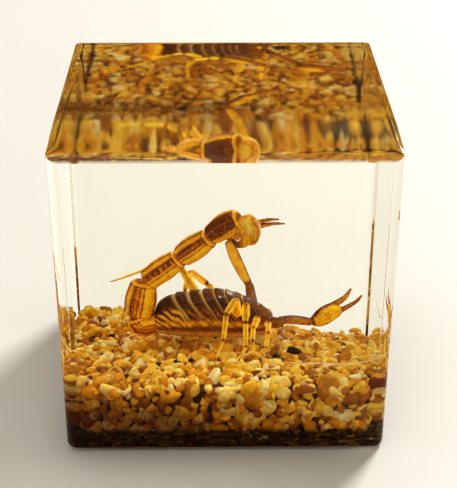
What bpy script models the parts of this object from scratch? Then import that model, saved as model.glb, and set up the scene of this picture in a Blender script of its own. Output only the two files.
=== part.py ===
"""A scorpion standing on a bed of pebbles, sealed in a clear resin block.

Lengths in the tables are millimetres and become metres in to_metres(). X runs along the front of the
block to the right, Y runs from the front face to the back, and Z runs up from the middle of the base.
The scorpion looks along +X, so the front face shows its right side.
"""

import math
import random

import bmesh
import bpy
from mathutils import Vector

MM = 0.001

# The block: its width, depth and height, the rounding of its lower and upright edges and of its top, the
# steps of each rounding, and the fold from which an edge is rounded.
BLOCK_WIDTH = 45.0
BLOCK_DEPTH = 41.2
BLOCK_HEIGHT = 46.3
EDGE_ROUNDING = 1.2
TOP_EDGE_ROUNDING = 0.4
EDGE_STEPS = 3
EDGE_ANGLE = 45.0
# The top dips towards the front: distances from the front face, and how far the top lies lower there.
FRONT_DIP = ((11.5, 0.0), (9.0, 0.04), (7.0, 0.15), (5.0, 0.33), (3.0, 0.6), (1.5, 0.9), (0.0, 1.5))
# The plane that parts the block in two, and the slit between the halves.
PARTING_HEIGHT = 13.0
PARTING_GAP = 0.3

# The hollow for the pebbles in the lower half, and the gap round the bed that fills it.
FLOOR_THICKNESS = 3.0
WALL_THICKNESS = 0.6
FIT_GAP = 0.3

# The bed's form: its level, its fall towards the back, a hollow at the back right, a bank at the back left,
# and a steeper fall along the back wall.
BED_STEP = 1.05
BED_LEVEL = 10.03
BED_FORWARD_RISE = 0.049
BED_HOLLOW_DEPTH = 5.1
BED_HOLLOW_X = (-6.0, 26.0)
BED_HOLLOW_Y = (-0.3, 16.8)
BED_BANK_HEIGHT = 1.0
BED_BANK_X = (2.0, 20.0)
BED_BANK_Y = (-2.3, 10.8)
BED_BACK_FALL = 0.36
BED_BACK_FALL_FROM = 16.8
BED_HIGHEST = 12.4
BED_UNDER_SPECIMEN = 10.1
SPECIMEN_FOOTPRINT = ((-16.0, 9.5), (-11.0, 12.5))

# The pebbles that make the bed's lumps: how deep they are sunk, and how low the ground between them lies.
PEBBLE_SEED = 11
PEBBLE_SPACING = 1.9
PEBBLE_RADIUS = (0.9, 1.5)
PEBBLE_SINK = 0.5
GROUND_BELOW_LEVEL = 0.6

# Clear space between the scorpion and the resin round it.
CLEARANCE = 0.6
LIMB_ROUNDNESS = 2
WELD_DISTANCE = 0.00001

# Finishes: colours, roughness, how clear the resin is, and from which angle a fold looks sharp.
SHELL_COLOUR = (0.50, 0.26, 0.05)
SHELL_ROUGHNESS = 0.3
PEBBLE_COLOUR = (0.62, 0.43, 0.20)
PEBBLE_ROUGHNESS = 0.45
RESIN_COLOUR = (0.98, 0.95, 0.86)
RESIN_ROUGHNESS = 0.03
RESIN_INDEX = 1.55
SHARP_ANGLE = 35.0

# The trunk: where its middle plane lies, and stations (x, centre height, half width, half height).
TRUNK_Y = 1.8
TRUNK_SIDES = 14
TRUNK_STATIONS = (
    (-10.35, 13.65, 1.3, 1.2),
    (-9.85, 13.75, 2.4, 2.15),
    (-8.95, 14.05, 3.1, 2.85),
    (-7.55, 14.35, 3.7, 3.35),
    (-5.55, 14.45, 4.1, 3.65),
    (-3.2, 14.55, 4.3, 3.85),
    (-0.6, 14.55, 4.3, 3.95),
    (1.4, 14.25, 4.1, 3.75),
    (3.15, 13.95, 3.7, 3.35),
    (4.85, 13.75, 3.3, 2.85),
    (6.55, 13.55, 2.7, 2.25),
    (7.85, 13.45, 1.9, 1.45),
    (8.55, 13.35, 1.1, 0.8),
)
# Seven plates cover the back, each with a raised hind edge over the next one's sunken front edge.
PLATE_COUNT = 7
PLATES_FROM = 2.6
PLATES_TO = -9.4
PLATE_LIP = 0.16
LIP_LENGTH = 0.22
HEAD_STATIONS = (8.55, 7.85, 6.55, 4.85, 3.4)

# Each limb is a chain of stations (x, y, z, radius).
TAIL = {
    "first": (
        (-8.95, 1.8, 13.55, 1.5), (-10.55, 1.8, 13.15, 1.85), (-12.1, 1.5, 13.25, 2.0),
        (-12.9, 1.3, 14.55, 1.6),
    ),
    "second": (
        (-12.6, 1.3, 14.35, 1.65), (-12.3, 1.2, 15.8, 2.15), (-11.8, 1.05, 18.45, 2.2),
        (-11.45, 0.9, 20.55, 1.5),
    ),
    "third": (
        (-11.25, 0.8, 20.35, 1.4), (-9.85, 0.4, 21.6, 1.75), (-7.85, -0.2, 23.3, 1.78),
        (-6.15, -0.7, 24.75, 1.25),
    ),
    "fourth": (
        (-6.45, -0.7, 24.55, 1.25), (-5.15, -1.25, 25.75, 1.78), (-3.4, -2.05, 27.3, 1.8),
        (-1.8, -2.85, 28.8, 1.2),
    ),
    "fifth": (
        (-2.1, -2.85, 28.6, 1.2), (-0.8, -3.45, 29.85, 1.75), (0.9, -4.1, 31.15, 1.9),
        (2.25, -4.6, 31.95, 1.3),
    ),
}
STING = {
    "bulb": (
        (1.95, -4.5, 31.95, 0.9), (2.75, -4.7, 31.35, 1.65), (3.35, -4.95, 30.45, 1.85),
        (3.55, -5.05, 29.3, 1.35), (3.15, -5.05, 28.3, 0.9),
    ),
    "point": (
        (3.45, -5.05, 29.0, 0.9), (2.85, -5.05, 28.2, 0.7), (2.15, -5.05, 27.9, 0.5),
        (1.65, -5.05, 28.1, 0.3), (1.4, -5.05, 28.7, 0.1),
    ),
}
FAR_PINCER = {
    "upper_arm": ((4.15, 3.45, 15.1, 0.8), (3.65, 8.05, 17.45, 0.6)),
    "forearm": (
        (3.65, 8.0, 17.25, 0.55), (2.65, 8.95, 19.05, 0.72), (1.6, 9.8, 21.2, 0.8),
        (0.6, 10.75, 23.75, 0.62),
    ),
    "hand": (
        (0.7, 10.7, 23.55, 0.55), (1.8, 11.95, 24.45, 1.05), (3.35, 13.25, 24.95, 1.1),
        (4.85, 14.3, 25.15, 0.6),
    ),
    "fixed_finger": ((4.35, 13.9, 25.35, 0.42), (6.75, 15.5, 25.55, 0.26), (8.15, 16.3, 25.35, 0.12)),
    "moving_finger": ((4.35, 13.75, 24.75, 0.42), (7.35, 15.9, 24.75, 0.26), (9.05, 16.9, 24.45, 0.12)),
}
NEAR_PINCER = {
    "upper_arm": ((6.55, 0.4, 13.95, 0.9), (7.55, 0.4, 13.55, 0.85), (8.55, 1.55, 13.75, 0.7)),
    "forearm": ((8.15, 1.3, 13.75, 0.7), (9.4, 2.55, 13.45, 0.85), (13.0, 5.75, 11.75, 0.75)),
    "hand": (
        (12.8, 5.65, 11.65, 0.6), (14.1, 6.35, 12.05, 1.4), (15.5, 7.05, 12.75, 1.6),
        (17.05, 7.8, 13.25, 1.1),
    ),
    "fixed_finger": ((16.45, 7.6, 14.0, 0.6), (18.15, 8.8, 14.8, 0.45), (18.85, 9.45, 16.1, 0.16)),
    "moving_finger": (
        (16.65, 7.7, 12.65, 0.6), (18.75, 8.9, 13.35, 0.45), (19.85, 9.5, 14.0, 0.34),
        (20.55, 9.95, 14.8, 0.14),
    ),
}
JAWS = {
    "near_jaw": ((7.15, 1.0, 13.65, 0.75), (8.95, 1.1, 13.25, 0.35)),
    "far_jaw": ((7.15, 2.65, 13.65, 0.75), (8.95, 2.55, 13.25, 0.35)),
}
LEGS = {
    "near_first": (
        (6.35, 0.4, 13.25, 0.7), (7.15, -1.8, 14.9, 0.48), (6.75, -3.4, 13.55, 0.4),
        (5.85, -5.85, 11.6, 0.23), (5.45, -6.9, 10.95, 0.13),
    ),
    "near_second": (
        (4.55, 0.2, 13.55, 0.7), (5.15, -1.9, 15.6, 0.5), (4.15, -4.0, 14.6, 0.44),
        (3.95, -6.25, 12.95, 0.25), (4.25, -7.7, 10.95, 0.13),
    ),
    "near_third": (
        (2.95, -0.2, 13.75, 0.75), (3.05, -2.45, 17.85, 0.5), (2.95, -4.1, 15.3, 0.44),
        (3.05, -6.25, 11.95, 0.25), (2.05, -9.1, 10.95, 0.13),
    ),
    "near_fourth": (
        (1.8, -0.6, 13.95, 0.8), (1.6, -2.75, 18.75, 0.52), (0.2, -4.0, 16.6, 0.45),
        (-0.2, -6.45, 13.15, 0.26), (-1.4, -9.1, 10.95, 0.13),
    ),
    "far_first": (
        (5.55, 3.45, 13.35, 0.7), (6.55, 5.85, 13.65, 0.5), (6.55, 8.05, 11.95, 0.4),
        (6.15, 9.65, 9.7, 0.14),
    ),
    "far_second": (
        (3.55, 3.65, 13.65, 0.7), (3.15, 6.9, 15.2, 0.5), (2.6, 9.1, 12.55, 0.4),
        (1.8, 10.65, 10.0, 0.14),
    ),
    "far_third": (
        (0.2, 4.05, 14.35, 0.8), (-2.4, 6.7, 17.85, 0.5), (-4.95, 8.55, 19.35, 0.5),
        (-5.85, 9.5, 15.9, 0.36), (-5.55, 10.45, 10.95, 0.14),
    ),
    "far_fourth": (
        (-3.0, 4.45, 14.9, 0.8), (-6.55, 6.95, 21.0, 0.45), (-8.35, 7.55, 21.1, 0.36),
        (-11.8, 8.95, 19.45, 0.22), (-16.5, 10.9, 17.0, 0.12),
    ),
}


def to_metres(*lengths):
    """Returns the lengths, given in millimetres, as a vector in metres."""
    return Vector([length * MM for length in lengths])


def remove_objects():
    """Removes every object that the scene starts with."""
    for thing in list(bpy.data.objects):
        bpy.data.objects.remove(thing, do_unlink=True)


def new_collection(name):
    """Adds a collection to the scene and returns it."""
    collection = bpy.data.collections.new(name)
    bpy.context.scene.collection.children.link(collection)
    return collection


def new_object(name, mesh, collection):
    """Puts a mesh into the scene as an object."""
    thing = bpy.data.objects.new(name, mesh)
    collection.objects.link(thing)
    return thing


def mesh_from(shape, name):
    """Turns a bmesh into a mesh whose faces point outwards."""
    bmesh.ops.recalc_face_normals(shape, faces=shape.faces)
    mesh = bpy.data.meshes.new(name)
    shape.to_mesh(mesh)
    shape.free()
    return mesh


def as_helper(thing):
    """Marks an object as a cutter, which is not part of the model."""
    thing.hide_render = True
    thing.display_type = "WIRE"
    return thing


def baked_mesh(thing, weld=0.0):
    """Returns the object's evaluated mesh, with points nearer than weld merged, and removes the object."""
    graph = bpy.context.evaluated_depsgraph_get()
    mesh = bpy.data.meshes.new_from_object(thing.evaluated_get(graph), depsgraph=graph)
    mesh.transform(thing.matrix_world)
    bpy.data.objects.remove(thing, do_unlink=True)
    if weld:
        shape = bmesh.new()
        shape.from_mesh(mesh)
        bmesh.ops.remove_doubles(shape, verts=shape.verts, dist=weld)
        bmesh.ops.recalc_face_normals(shape, faces=shape.faces)
        shape.to_mesh(mesh)
        shape.free()
    return mesh


def box(name, low, high, collection):
    """Makes a box from its lowest and highest corners."""
    shape = bmesh.new()
    bmesh.ops.create_cube(shape, size=1.0)
    size = high - low
    middle = (high + low) / 2
    for vert in shape.verts:
        vert.co = Vector([vert.co[i] * size[i] + middle[i] for i in range(3)])
    return new_object(name, mesh_from(shape, name), collection)


def add_boolean(thing, tool, operation):
    """Adds a Boolean modifier that uses the tool."""
    modifier = thing.modifiers.new(operation.lower() + "_" + tool.name, "BOOLEAN")
    modifier.operation = operation
    modifier.solver = "EXACT"
    modifier.use_self = operation == "UNION"
    modifier.object = tool


def unite(pieces, name, collection):
    """Joins overlapping closed objects into one solid and returns it."""
    base = pieces[0]
    for piece in pieces[1:]:
        add_boolean(base, piece, "UNION")
        mesh = baked_mesh(base)
        bpy.data.objects.remove(piece, do_unlink=True)
        base = new_object(name, mesh, collection)
    return base


def limb(name, stations, grow, collection):
    """Makes a round tapering limb along its stations, thicker and longer by grow."""
    points = [Vector(station[:3]) for station in stations]
    if grow:
        points[0] = points[0] + (points[0] - points[1]).normalized() * grow
        points[-1] = points[-1] + (points[-1] - points[-2]).normalized() * grow
    curve = bpy.data.curves.new(name, "CURVE")
    curve.dimensions = "3D"
    curve.bevel_depth = MM
    curve.bevel_resolution = LIMB_ROUNDNESS
    curve.use_fill_caps = True
    spline = curve.splines.new("POLY")
    spline.points.add(len(points) - 1)
    for target, point, station in zip(spline.points, points, stations):
        target.co = (*to_metres(*point), 1.0)
        target.radius = station[3] + grow
    mesh = baked_mesh(new_object(name, curve, collection), weld=WELD_DISTANCE)
    return new_object(name, mesh, collection)


def trunk_section(x):
    """Returns the trunk's centre height, half width and half height at x, between the given stations."""
    for (x0, *low), (x1, *high) in zip(TRUNK_STATIONS, TRUNK_STATIONS[1:]):
        if x0 <= x <= x1:
            share = (x - x0) / (x1 - x0)
            return [a + (b - a) * share for a, b in zip(low, high)]
    return list(TRUNK_STATIONS[0][1:])


def trunk_rings():
    """Returns the rings (x, extra radius) from head to tail, with a lip at each plate's hind edge."""
    rings = [(x, 0.0) for x in HEAD_STATIONS]
    length = (PLATES_FROM - PLATES_TO) / PLATE_COUNT
    for plate in range(PLATE_COUNT):
        front = PLATES_FROM - plate * length
        rings.append((front, -PLATE_LIP))
        rings.append((front - length + LIP_LENGTH, PLATE_LIP))
    rings.append((TRUNK_STATIONS[1][0], 0.0))
    rings.append((TRUNK_STATIONS[0][0], 0.0))
    return rings


def trunk(grow, collection):
    """Lofts the trunk through oval rings, thicker and longer by grow."""
    rings = trunk_rings()
    shape = bmesh.new()
    loops = []
    for index, (x, extra) in enumerate(rings):
        height, half_width, half_height = trunk_section(x)
        reach = x + grow * ((index == 0) - (index == len(rings) - 1))
        loop = []
        for side in range(TRUNK_SIDES):
            angle = 2 * math.pi * side / TRUNK_SIDES
            y = TRUNK_Y + (half_width + extra + grow) * math.sin(angle)
            z = height + (half_height + extra + grow) * math.cos(angle)
            loop.append(shape.verts.new(to_metres(reach, y, z)))
        loops.append(loop)
    for first, second in zip(loops, loops[1:]):
        for side in range(TRUNK_SIDES):
            following = (side + 1) % TRUNK_SIDES
            shape.faces.new((first[side], first[following], second[following], second[side]))
    shape.faces.new(loops[0])
    shape.faces.new(loops[-1])
    return new_object("trunk", mesh_from(shape, "trunk"), collection)


def specimen(name, grow, collection):
    """Builds the whole scorpion as one solid, or the hollow round it when grow is above zero."""
    pieces = [trunk(grow, collection)]
    for group in (TAIL, STING, JAWS, NEAR_PINCER, FAR_PINCER, LEGS):
        for part, stations in group.items():
            pieces.append(limb(part, stations, grow, collection))
    return unite(pieces, name, collection)


def smooth_step(value, start, end):
    """Rises smoothly from 0 at start to 1 at end."""
    share = min(max((value - start) / (end - start), 0.0), 1.0)
    return share * share * (3 - 2 * share)


def bed_surface(x, y):
    """Returns the bed's mean height, with its hollow, its bank and its fall along the back wall."""
    hollow = smooth_step(x, *BED_HOLLOW_X) * smooth_step(y, *BED_HOLLOW_Y)
    bank = smooth_step(-x, *BED_BANK_X) * smooth_step(y, *BED_BANK_Y)
    back_fall = BED_BACK_FALL * max(y - BED_BACK_FALL_FROM, 0.0)
    return BED_LEVEL - BED_FORWARD_RISE * y - BED_HOLLOW_DEPTH * hollow + BED_BANK_HEIGHT * bank - back_fall


def bed_limits():
    """Returns the lowest and highest x and y of the bed."""
    half_x = BLOCK_WIDTH / 2 - WALL_THICKNESS - FIT_GAP
    half_y = BLOCK_DEPTH / 2 - WALL_THICKNESS - FIT_GAP
    return (-half_x, half_x), (-half_y, half_y)


def pebble_tops():
    """Scatters the pebbles that make the lumps of the bed, as (x, y, centre height, radius)."""
    chance = random.Random(PEBBLE_SEED)
    (left, right), (front, back) = bed_limits()
    pebbles = []
    for row in range(int((back - front) / PEBBLE_SPACING) + 1):
        for column in range(int((right - left) / PEBBLE_SPACING) + 1):
            x = left + (column + chance.random()) * PEBBLE_SPACING
            y = front + (row + chance.random()) * PEBBLE_SPACING
            radius = chance.uniform(*PEBBLE_RADIUS)
            pebbles.append((x, y, bed_surface(x, y) - PEBBLE_SINK * radius, radius))
    return pebbles


def bed_height(x, y, pebbles):
    """Returns the top of the highest pebble at (x, y), kept under the scorpion and the parting plane."""
    top = bed_surface(x, y) - GROUND_BELOW_LEVEL
    for px, py, centre, radius in pebbles:
        reach = radius * radius - (x - px) ** 2 - (y - py) ** 2
        if reach > 0:
            top = max(top, centre + math.sqrt(reach))
    (x_low, x_high), (y_low, y_high) = SPECIMEN_FOOTPRINT
    under = x_low < x < x_high and y_low < y < y_high
    return min(top, BED_UNDER_SPECIMEN if under else BED_HIGHEST)


def gravel_bed(collection):
    """Builds the bed as a slab whose top is raised into pebbles."""
    (left, right), (front, back) = bed_limits()
    pebbles = pebble_tops()
    shape = bmesh.new()
    bmesh.ops.create_grid(
        shape,
        x_segments=round((right - left) / BED_STEP),
        y_segments=round((back - front) / BED_STEP),
        size=1.0,
    )
    for vert in shape.verts:
        x = left + (vert.co.x + 1) / 2 * (right - left)
        y = front + (vert.co.y + 1) / 2 * (back - front)
        vert.co = to_metres(x, y, bed_height(x, y, pebbles))
    lower = bmesh.ops.extrude_face_region(shape, geom=list(shape.faces))["geom"]
    for item in lower:
        if isinstance(item, bmesh.types.BMVert):
            item.co.z = (FLOOR_THICKNESS + FIT_GAP) * MM
    underside = [item for item in lower if isinstance(item, bmesh.types.BMFace)]
    bmesh.ops.dissolve_faces(shape, faces=underside)
    return new_object("gravel_bed", mesh_from(shape, "gravel_bed"), collection)


def block_outline():
    """Returns the block's outline seen from the side, as (y, z), with the top's dip to the front."""
    front = -BLOCK_DEPTH / 2
    back = BLOCK_DEPTH / 2
    corners = [(front, 0.0), (back, 0.0), (back, BLOCK_HEIGHT)]
    return corners + [(front + distance, BLOCK_HEIGHT - depth) for distance, depth in FRONT_DIP]


def round_edges(thing):
    """Rounds the folds of the block, less along the top than below."""
    shape = bmesh.new()
    shape.from_mesh(thing.data)
    weight = shape.edges.layers.float.new("bevel_weight_edge")
    for edge in shape.edges:
        if edge.calc_face_angle(0.0) > math.radians(EDGE_ANGLE):
            high = min(vert.co.z for vert in edge.verts) > BLOCK_HEIGHT / 2 * MM
            edge[weight] = TOP_EDGE_ROUNDING / EDGE_ROUNDING if high else 1.0
    shape.to_mesh(thing.data)
    shape.free()
    rounding = thing.modifiers.new("rounded_edges", "BEVEL")
    rounding.limit_method = "WEIGHT"
    rounding.width = EDGE_ROUNDING * MM
    rounding.segments = EDGE_STEPS


def whole_block(name, collection):
    """Makes the whole block by carrying its side outline across its width, and rounds its edges."""
    shape = bmesh.new()
    outline = [shape.verts.new(to_metres(-BLOCK_WIDTH / 2, y, z)) for y, z in block_outline()]
    side = shape.faces.new(outline)
    carried = bmesh.ops.extrude_face_region(shape, geom=[side])["geom"]
    far = [item for item in carried if isinstance(item, bmesh.types.BMVert)]
    bmesh.ops.translate(shape, verts=far, vec=to_metres(BLOCK_WIDTH, 0, 0))
    blank = new_object(name + "_blank", mesh_from(shape, name), collection)
    round_edges(blank)
    return new_object(name, baked_mesh(blank, weld=WELD_DISTANCE), collection)


def resin_half(name, low_z, high_z, hollow, collection, cutters):
    """Cuts the hollow from the whole rounded block, then keeps one half of it."""
    half = whole_block(name, collection)
    reach = to_metres(BLOCK_WIDTH, BLOCK_DEPTH, 0)
    low = to_metres(0, 0, low_z) - reach
    high = to_metres(0, 0, high_z) + reach
    layer = box(name + "_layer", low, high, cutters)
    add_boolean(half, as_helper(hollow), "DIFFERENCE")
    add_boolean(half, as_helper(layer), "INTERSECT")
    return half


def pebble_hollow(cutters):
    """Makes the cutter for the hollow that holds the pebbles, open at the parting plane."""
    (left, right), (front, back) = bed_limits()
    low = to_metres(left - FIT_GAP, front - FIT_GAP, FLOOR_THICKNESS)
    high = to_metres(right + FIT_GAP, back + FIT_GAP, 2 * BLOCK_HEIGHT)
    return box("pebble_hollow", low, high, cutters)


def finish(thing, colour, roughness, transmission=0.0):
    """Gives the object its own material and shades its round faces smooth."""
    material = bpy.data.materials.new(thing.name + "_finish")
    material.use_nodes = True
    shader = material.node_tree.nodes["Principled BSDF"]
    shader.inputs["Base Color"].default_value = (*colour, 1.0)
    shader.inputs["Roughness"].default_value = roughness
    shader.inputs["Metallic"].default_value = 0.0
    shader.inputs["Transmission Weight"].default_value = transmission
    shader.inputs["IOR"].default_value = RESIN_INDEX
    thing.data.materials.clear()
    thing.data.materials.append(material)
    thing.data.shade_smooth()
    thing.data.set_sharp_from_angle(angle=math.radians(SHARP_ANGLE))


def build():
    """Builds the two halves of the block, the bed of pebbles and the scorpion."""
    remove_objects()
    parts = new_collection("scorpion_in_resin_block")
    cutters = new_collection("cutters")
    scorpion = specimen("scorpion", 0.0, parts)
    hollow = specimen("specimen_hollow", CLEARANCE, cutters)
    bed = gravel_bed(parts)
    split_low = PARTING_HEIGHT - PARTING_GAP / 2
    split_high = PARTING_HEIGHT + PARTING_GAP / 2
    lower = resin_half("resin_lower", -BLOCK_HEIGHT, split_low, pebble_hollow(cutters), parts, cutters)
    upper = resin_half("resin_upper", split_high, 2 * BLOCK_HEIGHT, hollow, parts, cutters)
    finish(scorpion, SHELL_COLOUR, SHELL_ROUGHNESS)
    finish(bed, PEBBLE_COLOUR, PEBBLE_ROUGHNESS)
    finish(lower, RESIN_COLOUR, RESIN_ROUGHNESS, transmission=1.0)
    finish(upper, RESIN_COLOUR, RESIN_ROUGHNESS, transmission=1.0)


build()
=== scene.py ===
"""A scorpion cast in a clear resin block over a bed of small pebbles.

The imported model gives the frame: the block's box, the bed and the specimen. This script dresses it with one
clear block, loose pebbles scattered over the bed's form, and the specimen with its plates, keels and joints.
X runs along the block's front to the right, Y from the front to the back, Z up. The scorpion looks along
+X. Lengths in the tables are millimetres, and become metres where a mesh is made.
"""

import logging
import math
from collections.abc import Callable, Sequence
from dataclasses import dataclass, field
from enum import Enum
from functools import partial
from itertools import product

import bmesh
import bpy
import numpy as np
from mathutils import Matrix, Vector


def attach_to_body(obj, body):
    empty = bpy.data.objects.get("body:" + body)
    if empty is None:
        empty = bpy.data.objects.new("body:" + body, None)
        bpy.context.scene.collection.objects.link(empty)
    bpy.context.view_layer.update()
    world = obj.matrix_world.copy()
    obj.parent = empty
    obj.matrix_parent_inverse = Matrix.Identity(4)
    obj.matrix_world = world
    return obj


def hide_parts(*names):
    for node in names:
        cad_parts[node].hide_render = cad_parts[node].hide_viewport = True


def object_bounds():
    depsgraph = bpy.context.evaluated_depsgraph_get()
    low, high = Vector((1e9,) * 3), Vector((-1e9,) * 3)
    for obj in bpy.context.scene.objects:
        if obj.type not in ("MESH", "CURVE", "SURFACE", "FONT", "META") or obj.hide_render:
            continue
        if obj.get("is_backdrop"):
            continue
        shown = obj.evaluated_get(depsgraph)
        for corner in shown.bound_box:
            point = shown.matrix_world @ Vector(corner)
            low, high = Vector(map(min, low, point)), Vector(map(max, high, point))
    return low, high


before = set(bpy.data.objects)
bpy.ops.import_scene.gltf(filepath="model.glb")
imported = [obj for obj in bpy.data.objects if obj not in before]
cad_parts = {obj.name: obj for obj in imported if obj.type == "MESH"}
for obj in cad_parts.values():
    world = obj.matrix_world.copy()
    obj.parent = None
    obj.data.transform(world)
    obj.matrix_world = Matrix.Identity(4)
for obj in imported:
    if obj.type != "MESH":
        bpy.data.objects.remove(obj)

LOG = logging.getLogger("scorpion_block")
MM = 0.001
BODY = "root"
WHITE = (1.0, 1.0, 1.0, 1.0)
BLACK = (0.0, 0.0, 0.0, 1.0)

Triple = tuple[float, float, float]
Colour = tuple[float, float, float, float]
Station = tuple[float, float, float, float]
Marks = dict[str, np.ndarray]
Pattern = Callable[[np.ndarray, np.ndarray], np.ndarray]
MarkPattern = Callable[[np.ndarray, np.ndarray], Marks]


class Slot(Enum):
    """The record's material slots."""

    RESIN = "resin"
    PEBBLES = "pebbles"
    CHITIN = "chitin"


class Look(Enum):
    """Which of the specimen's finishes a part takes."""

    TRUNK = "trunk"
    TAIL = "tail"
    STING = "sting"
    ARM = "arm"
    HAND = "hand"
    LEG = "leg"
    EYE = "eye"


# ---------------------------------------------------------------------------------------------- formulas


def paint(red: int, green: int, blue: int) -> Colour:
    """Turn a display colour in steps of 0 to 255 into a shader's linear colour.

    Args:
        red: the red step.
        green: the green step.
        blue: the blue step.

    Returns:
        The linear colour with full opacity.
    """
    linear = [
        ((step / 255 + 0.055) / 1.055) ** 2.4 if step > 10 else step / 3294.6
        for step in (red, green, blue)
    ]
    return (*linear, 1.0)


def bump(value: np.ndarray, middle: float, spread: float) -> np.ndarray:
    """A smooth bump of height 1 at the middle, as wide as the spread."""
    return np.exp(-(((value - middle) / spread) ** 2))


def step_up(value: np.ndarray, start: float, end: float) -> np.ndarray:
    """A smooth step from 0 at the start to 1 at the end."""
    share = np.clip((value - start) / (end - start), 0.0, 1.0)
    return share * share * (3.0 - 2.0 * share)


def window(value: np.ndarray, start: float, end: float, soft: float) -> np.ndarray:
    """1 between start and end, with soft edges of the given width."""
    return step_up(value, start - soft, start + soft) * (1.0 - step_up(value, end - soft, end + soft))


def round_end(distance: np.ndarray, reach: float) -> np.ndarray:
    """How far a form is drawn in near its round end: 0 at the end, and 1 from its reach on."""
    share = np.clip(distance / reach, 0.0, 1.0)
    return np.sqrt(1.0 - (1.0 - share) ** 2)


def unit(vectors: np.ndarray) -> np.ndarray:
    """Scale vectors to length 1."""
    return vectors / np.maximum(np.linalg.norm(vectors, axis=-1, keepdims=True), 1e-12)


def smooth_path(knots: np.ndarray, places: np.ndarray) -> np.ndarray:
    """Read a smooth curve through knots.

    Args:
        knots: the points, a row each; further columns such as a radius are carried along.
        places: where to read it, from 0 at the first knot to 1 at the last, by length.

    Returns:
        A row for each place.
    """
    spans = np.linalg.norm(np.diff(knots[:, :3], axis=0), axis=1)
    marks = np.concatenate([[0.0], np.cumsum(spans)]) / spans.sum()
    slopes = np.gradient(knots, marks, axis=0)
    which = np.clip(np.searchsorted(marks, places, side="right") - 1, 0, len(knots) - 2)
    width = (marks[which + 1] - marks[which])[:, None]
    share = (places[:, None] - marks[which][:, None]) / width
    square, cube = share**2, share**3
    return (
        (2 * cube - 3 * square + 1) * knots[which]
        + (cube - 2 * square + share) * width * slopes[which]
        + (3 * square - 2 * cube) * knots[which + 1]
        + (cube - square) * width * slopes[which + 1]
    )


# ------------------------------------------------------------------------------------------------ shapes


@dataclass
class Shape:
    """Closed forms on their way into a mesh: points in millimetres, faces, and marks on the points."""

    points: np.ndarray
    faces: list[tuple[int, ...]]
    marks: Marks

    @staticmethod
    def joined(shapes: Sequence["Shape"]) -> "Shape":
        """Gather several shapes in one.

        Args:
            shapes: the shapes, each with the same marks.

        Returns:
            One shape that holds them all.
        """
        starts = np.cumsum([0] + [len(shape.points) for shape in shapes])
        faces = [
            tuple(corner + int(start) for corner in face)
            for shape, start in zip(shapes, starts)
            for face in shape.faces
        ]
        marks = {name: np.concatenate([shape.marks[name] for shape in shapes]) for name in shapes[0].marks}
        return Shape(np.concatenate([shape.points for shape in shapes]), faces, marks)

    def as_object(self, name: str, finish: bpy.types.Material) -> bpy.types.Object:
        """Make the mesh object.

        Args:
            name: the piece's name.
            finish: its material.

        Returns:
            The object, at the origin, with smooth faces and a float attribute for each mark.
        """
        mesh = bpy.data.meshes.new(name)
        mesh.from_pydata((self.points * MM).tolist(), [], self.faces)
        mesh.validate()
        for mark, values in self.marks.items():
            mesh.attributes.new(mark, "FLOAT", "POINT").data.foreach_set("value", values.astype(np.float32))
        mesh.materials.append(finish)
        mesh.shade_smooth()
        return in_scene(name, mesh)


def in_scene(name: str, data: bpy.types.ID) -> bpy.types.Object:
    """Make an object at the origin and link it to the scene.

    Args:
        name: the object's name.
        data: its mesh, light or camera.

    Returns:
        The object.
    """
    thing = bpy.data.objects.new(name, data)
    bpy.context.scene.collection.objects.link(thing)
    return thing


def even(around: np.ndarray, along: np.ndarray) -> np.ndarray:
    """A relief that leaves the form as it is."""
    return np.ones(np.broadcast(around, along).shape)


def tones(around: np.ndarray, along: np.ndarray, dark: object = 0.0, pale_and_highlight: object = 0.0) -> Marks:
    """Marks for a form's tones, kept within 0 to 1.

    Args:
        around: angles round the form.
        along: shares of its length.
        dark: how dark each point is, a number or an array.
        pale_and_highlight: how pale it is, with its painted highlights.

    Returns:
        Both marks, a value for each point.
    """
    shape = np.broadcast(around, along).shape
    given = {"dark": dark, "pale_and_highlight": pale_and_highlight}
    return {name: np.clip(np.broadcast_to(value, shape), 0.0, 1.0) for name, value in given.items()}


def grain_marks(around: np.ndarray, run: np.ndarray) -> Marks:
    """Marks that let a finish draw streaks along a form.

    Args:
        around: angles round the form.
        run: lengths along it in millimetres.

    Returns:
        Where each point lies round the form, as a cosine and a sine, and along it.
    """
    shape = np.broadcast(around, run).shape
    places = {"round_x": np.cos(around), "round_y": np.sin(around), "run": run}
    return {name: np.broadcast_to(value, shape) for name, value in places.items()}


@dataclass(frozen=True)
class Sweep:
    """A round form that follows stations, such as a limb, a finger or a tail segment.

    The angle around it is 0 on its outer side and a quarter turn where `side` looks.
    """

    stations: tuple[Station, ...]
    side: Triple = (0.0, -1.0, 0.0)
    rings: int = 40
    sides: int = 28
    rounding: float = 0.7
    relief: Pattern = even
    marks: MarkPattern = tones
    thinnest: float = 0.02

    def build(self) -> Shape:
        """Make the form.

        Returns:
            A closed shape whose faces point out.
        """
        share = np.linspace(0.0, 1.0, self.rings)
        along = 0.6 * share + 0.4 * 0.5 * (1.0 - np.cos(np.pi * share))
        path = smooth_path(np.array(self.stations), along)
        centre, radius = path[:, :3], np.maximum(path[:, 3], self.thinnest)
        forward = unit(np.gradient(centre, axis=0))
        outer = unit(np.cross(np.array(self.side), forward))
        across = unit(np.cross(forward, outer))
        run = np.concatenate([[0.0], np.cumsum(np.linalg.norm(np.diff(centre, axis=0), axis=1))])
        start, end = self.rounding * radius[0], self.rounding * radius[-1]
        radius = radius * (round_end(run, start) * round_end(run[-1] - run, end))
        around = np.linspace(-np.pi, np.pi, self.sides, endpoint=False)[None, :]
        swell = radius[:, None] * self.relief(around, along[:, None])
        points = (
            centre[:, None, :]
            + (swell * np.cos(around))[..., None] * outer[:, None, :]
            + (swell * np.sin(around))[..., None] * across[:, None, :]
        )
        return closed_rings(points, self.marks(around, along[:, None]) | grain_marks(around, run[:, None]))


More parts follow.
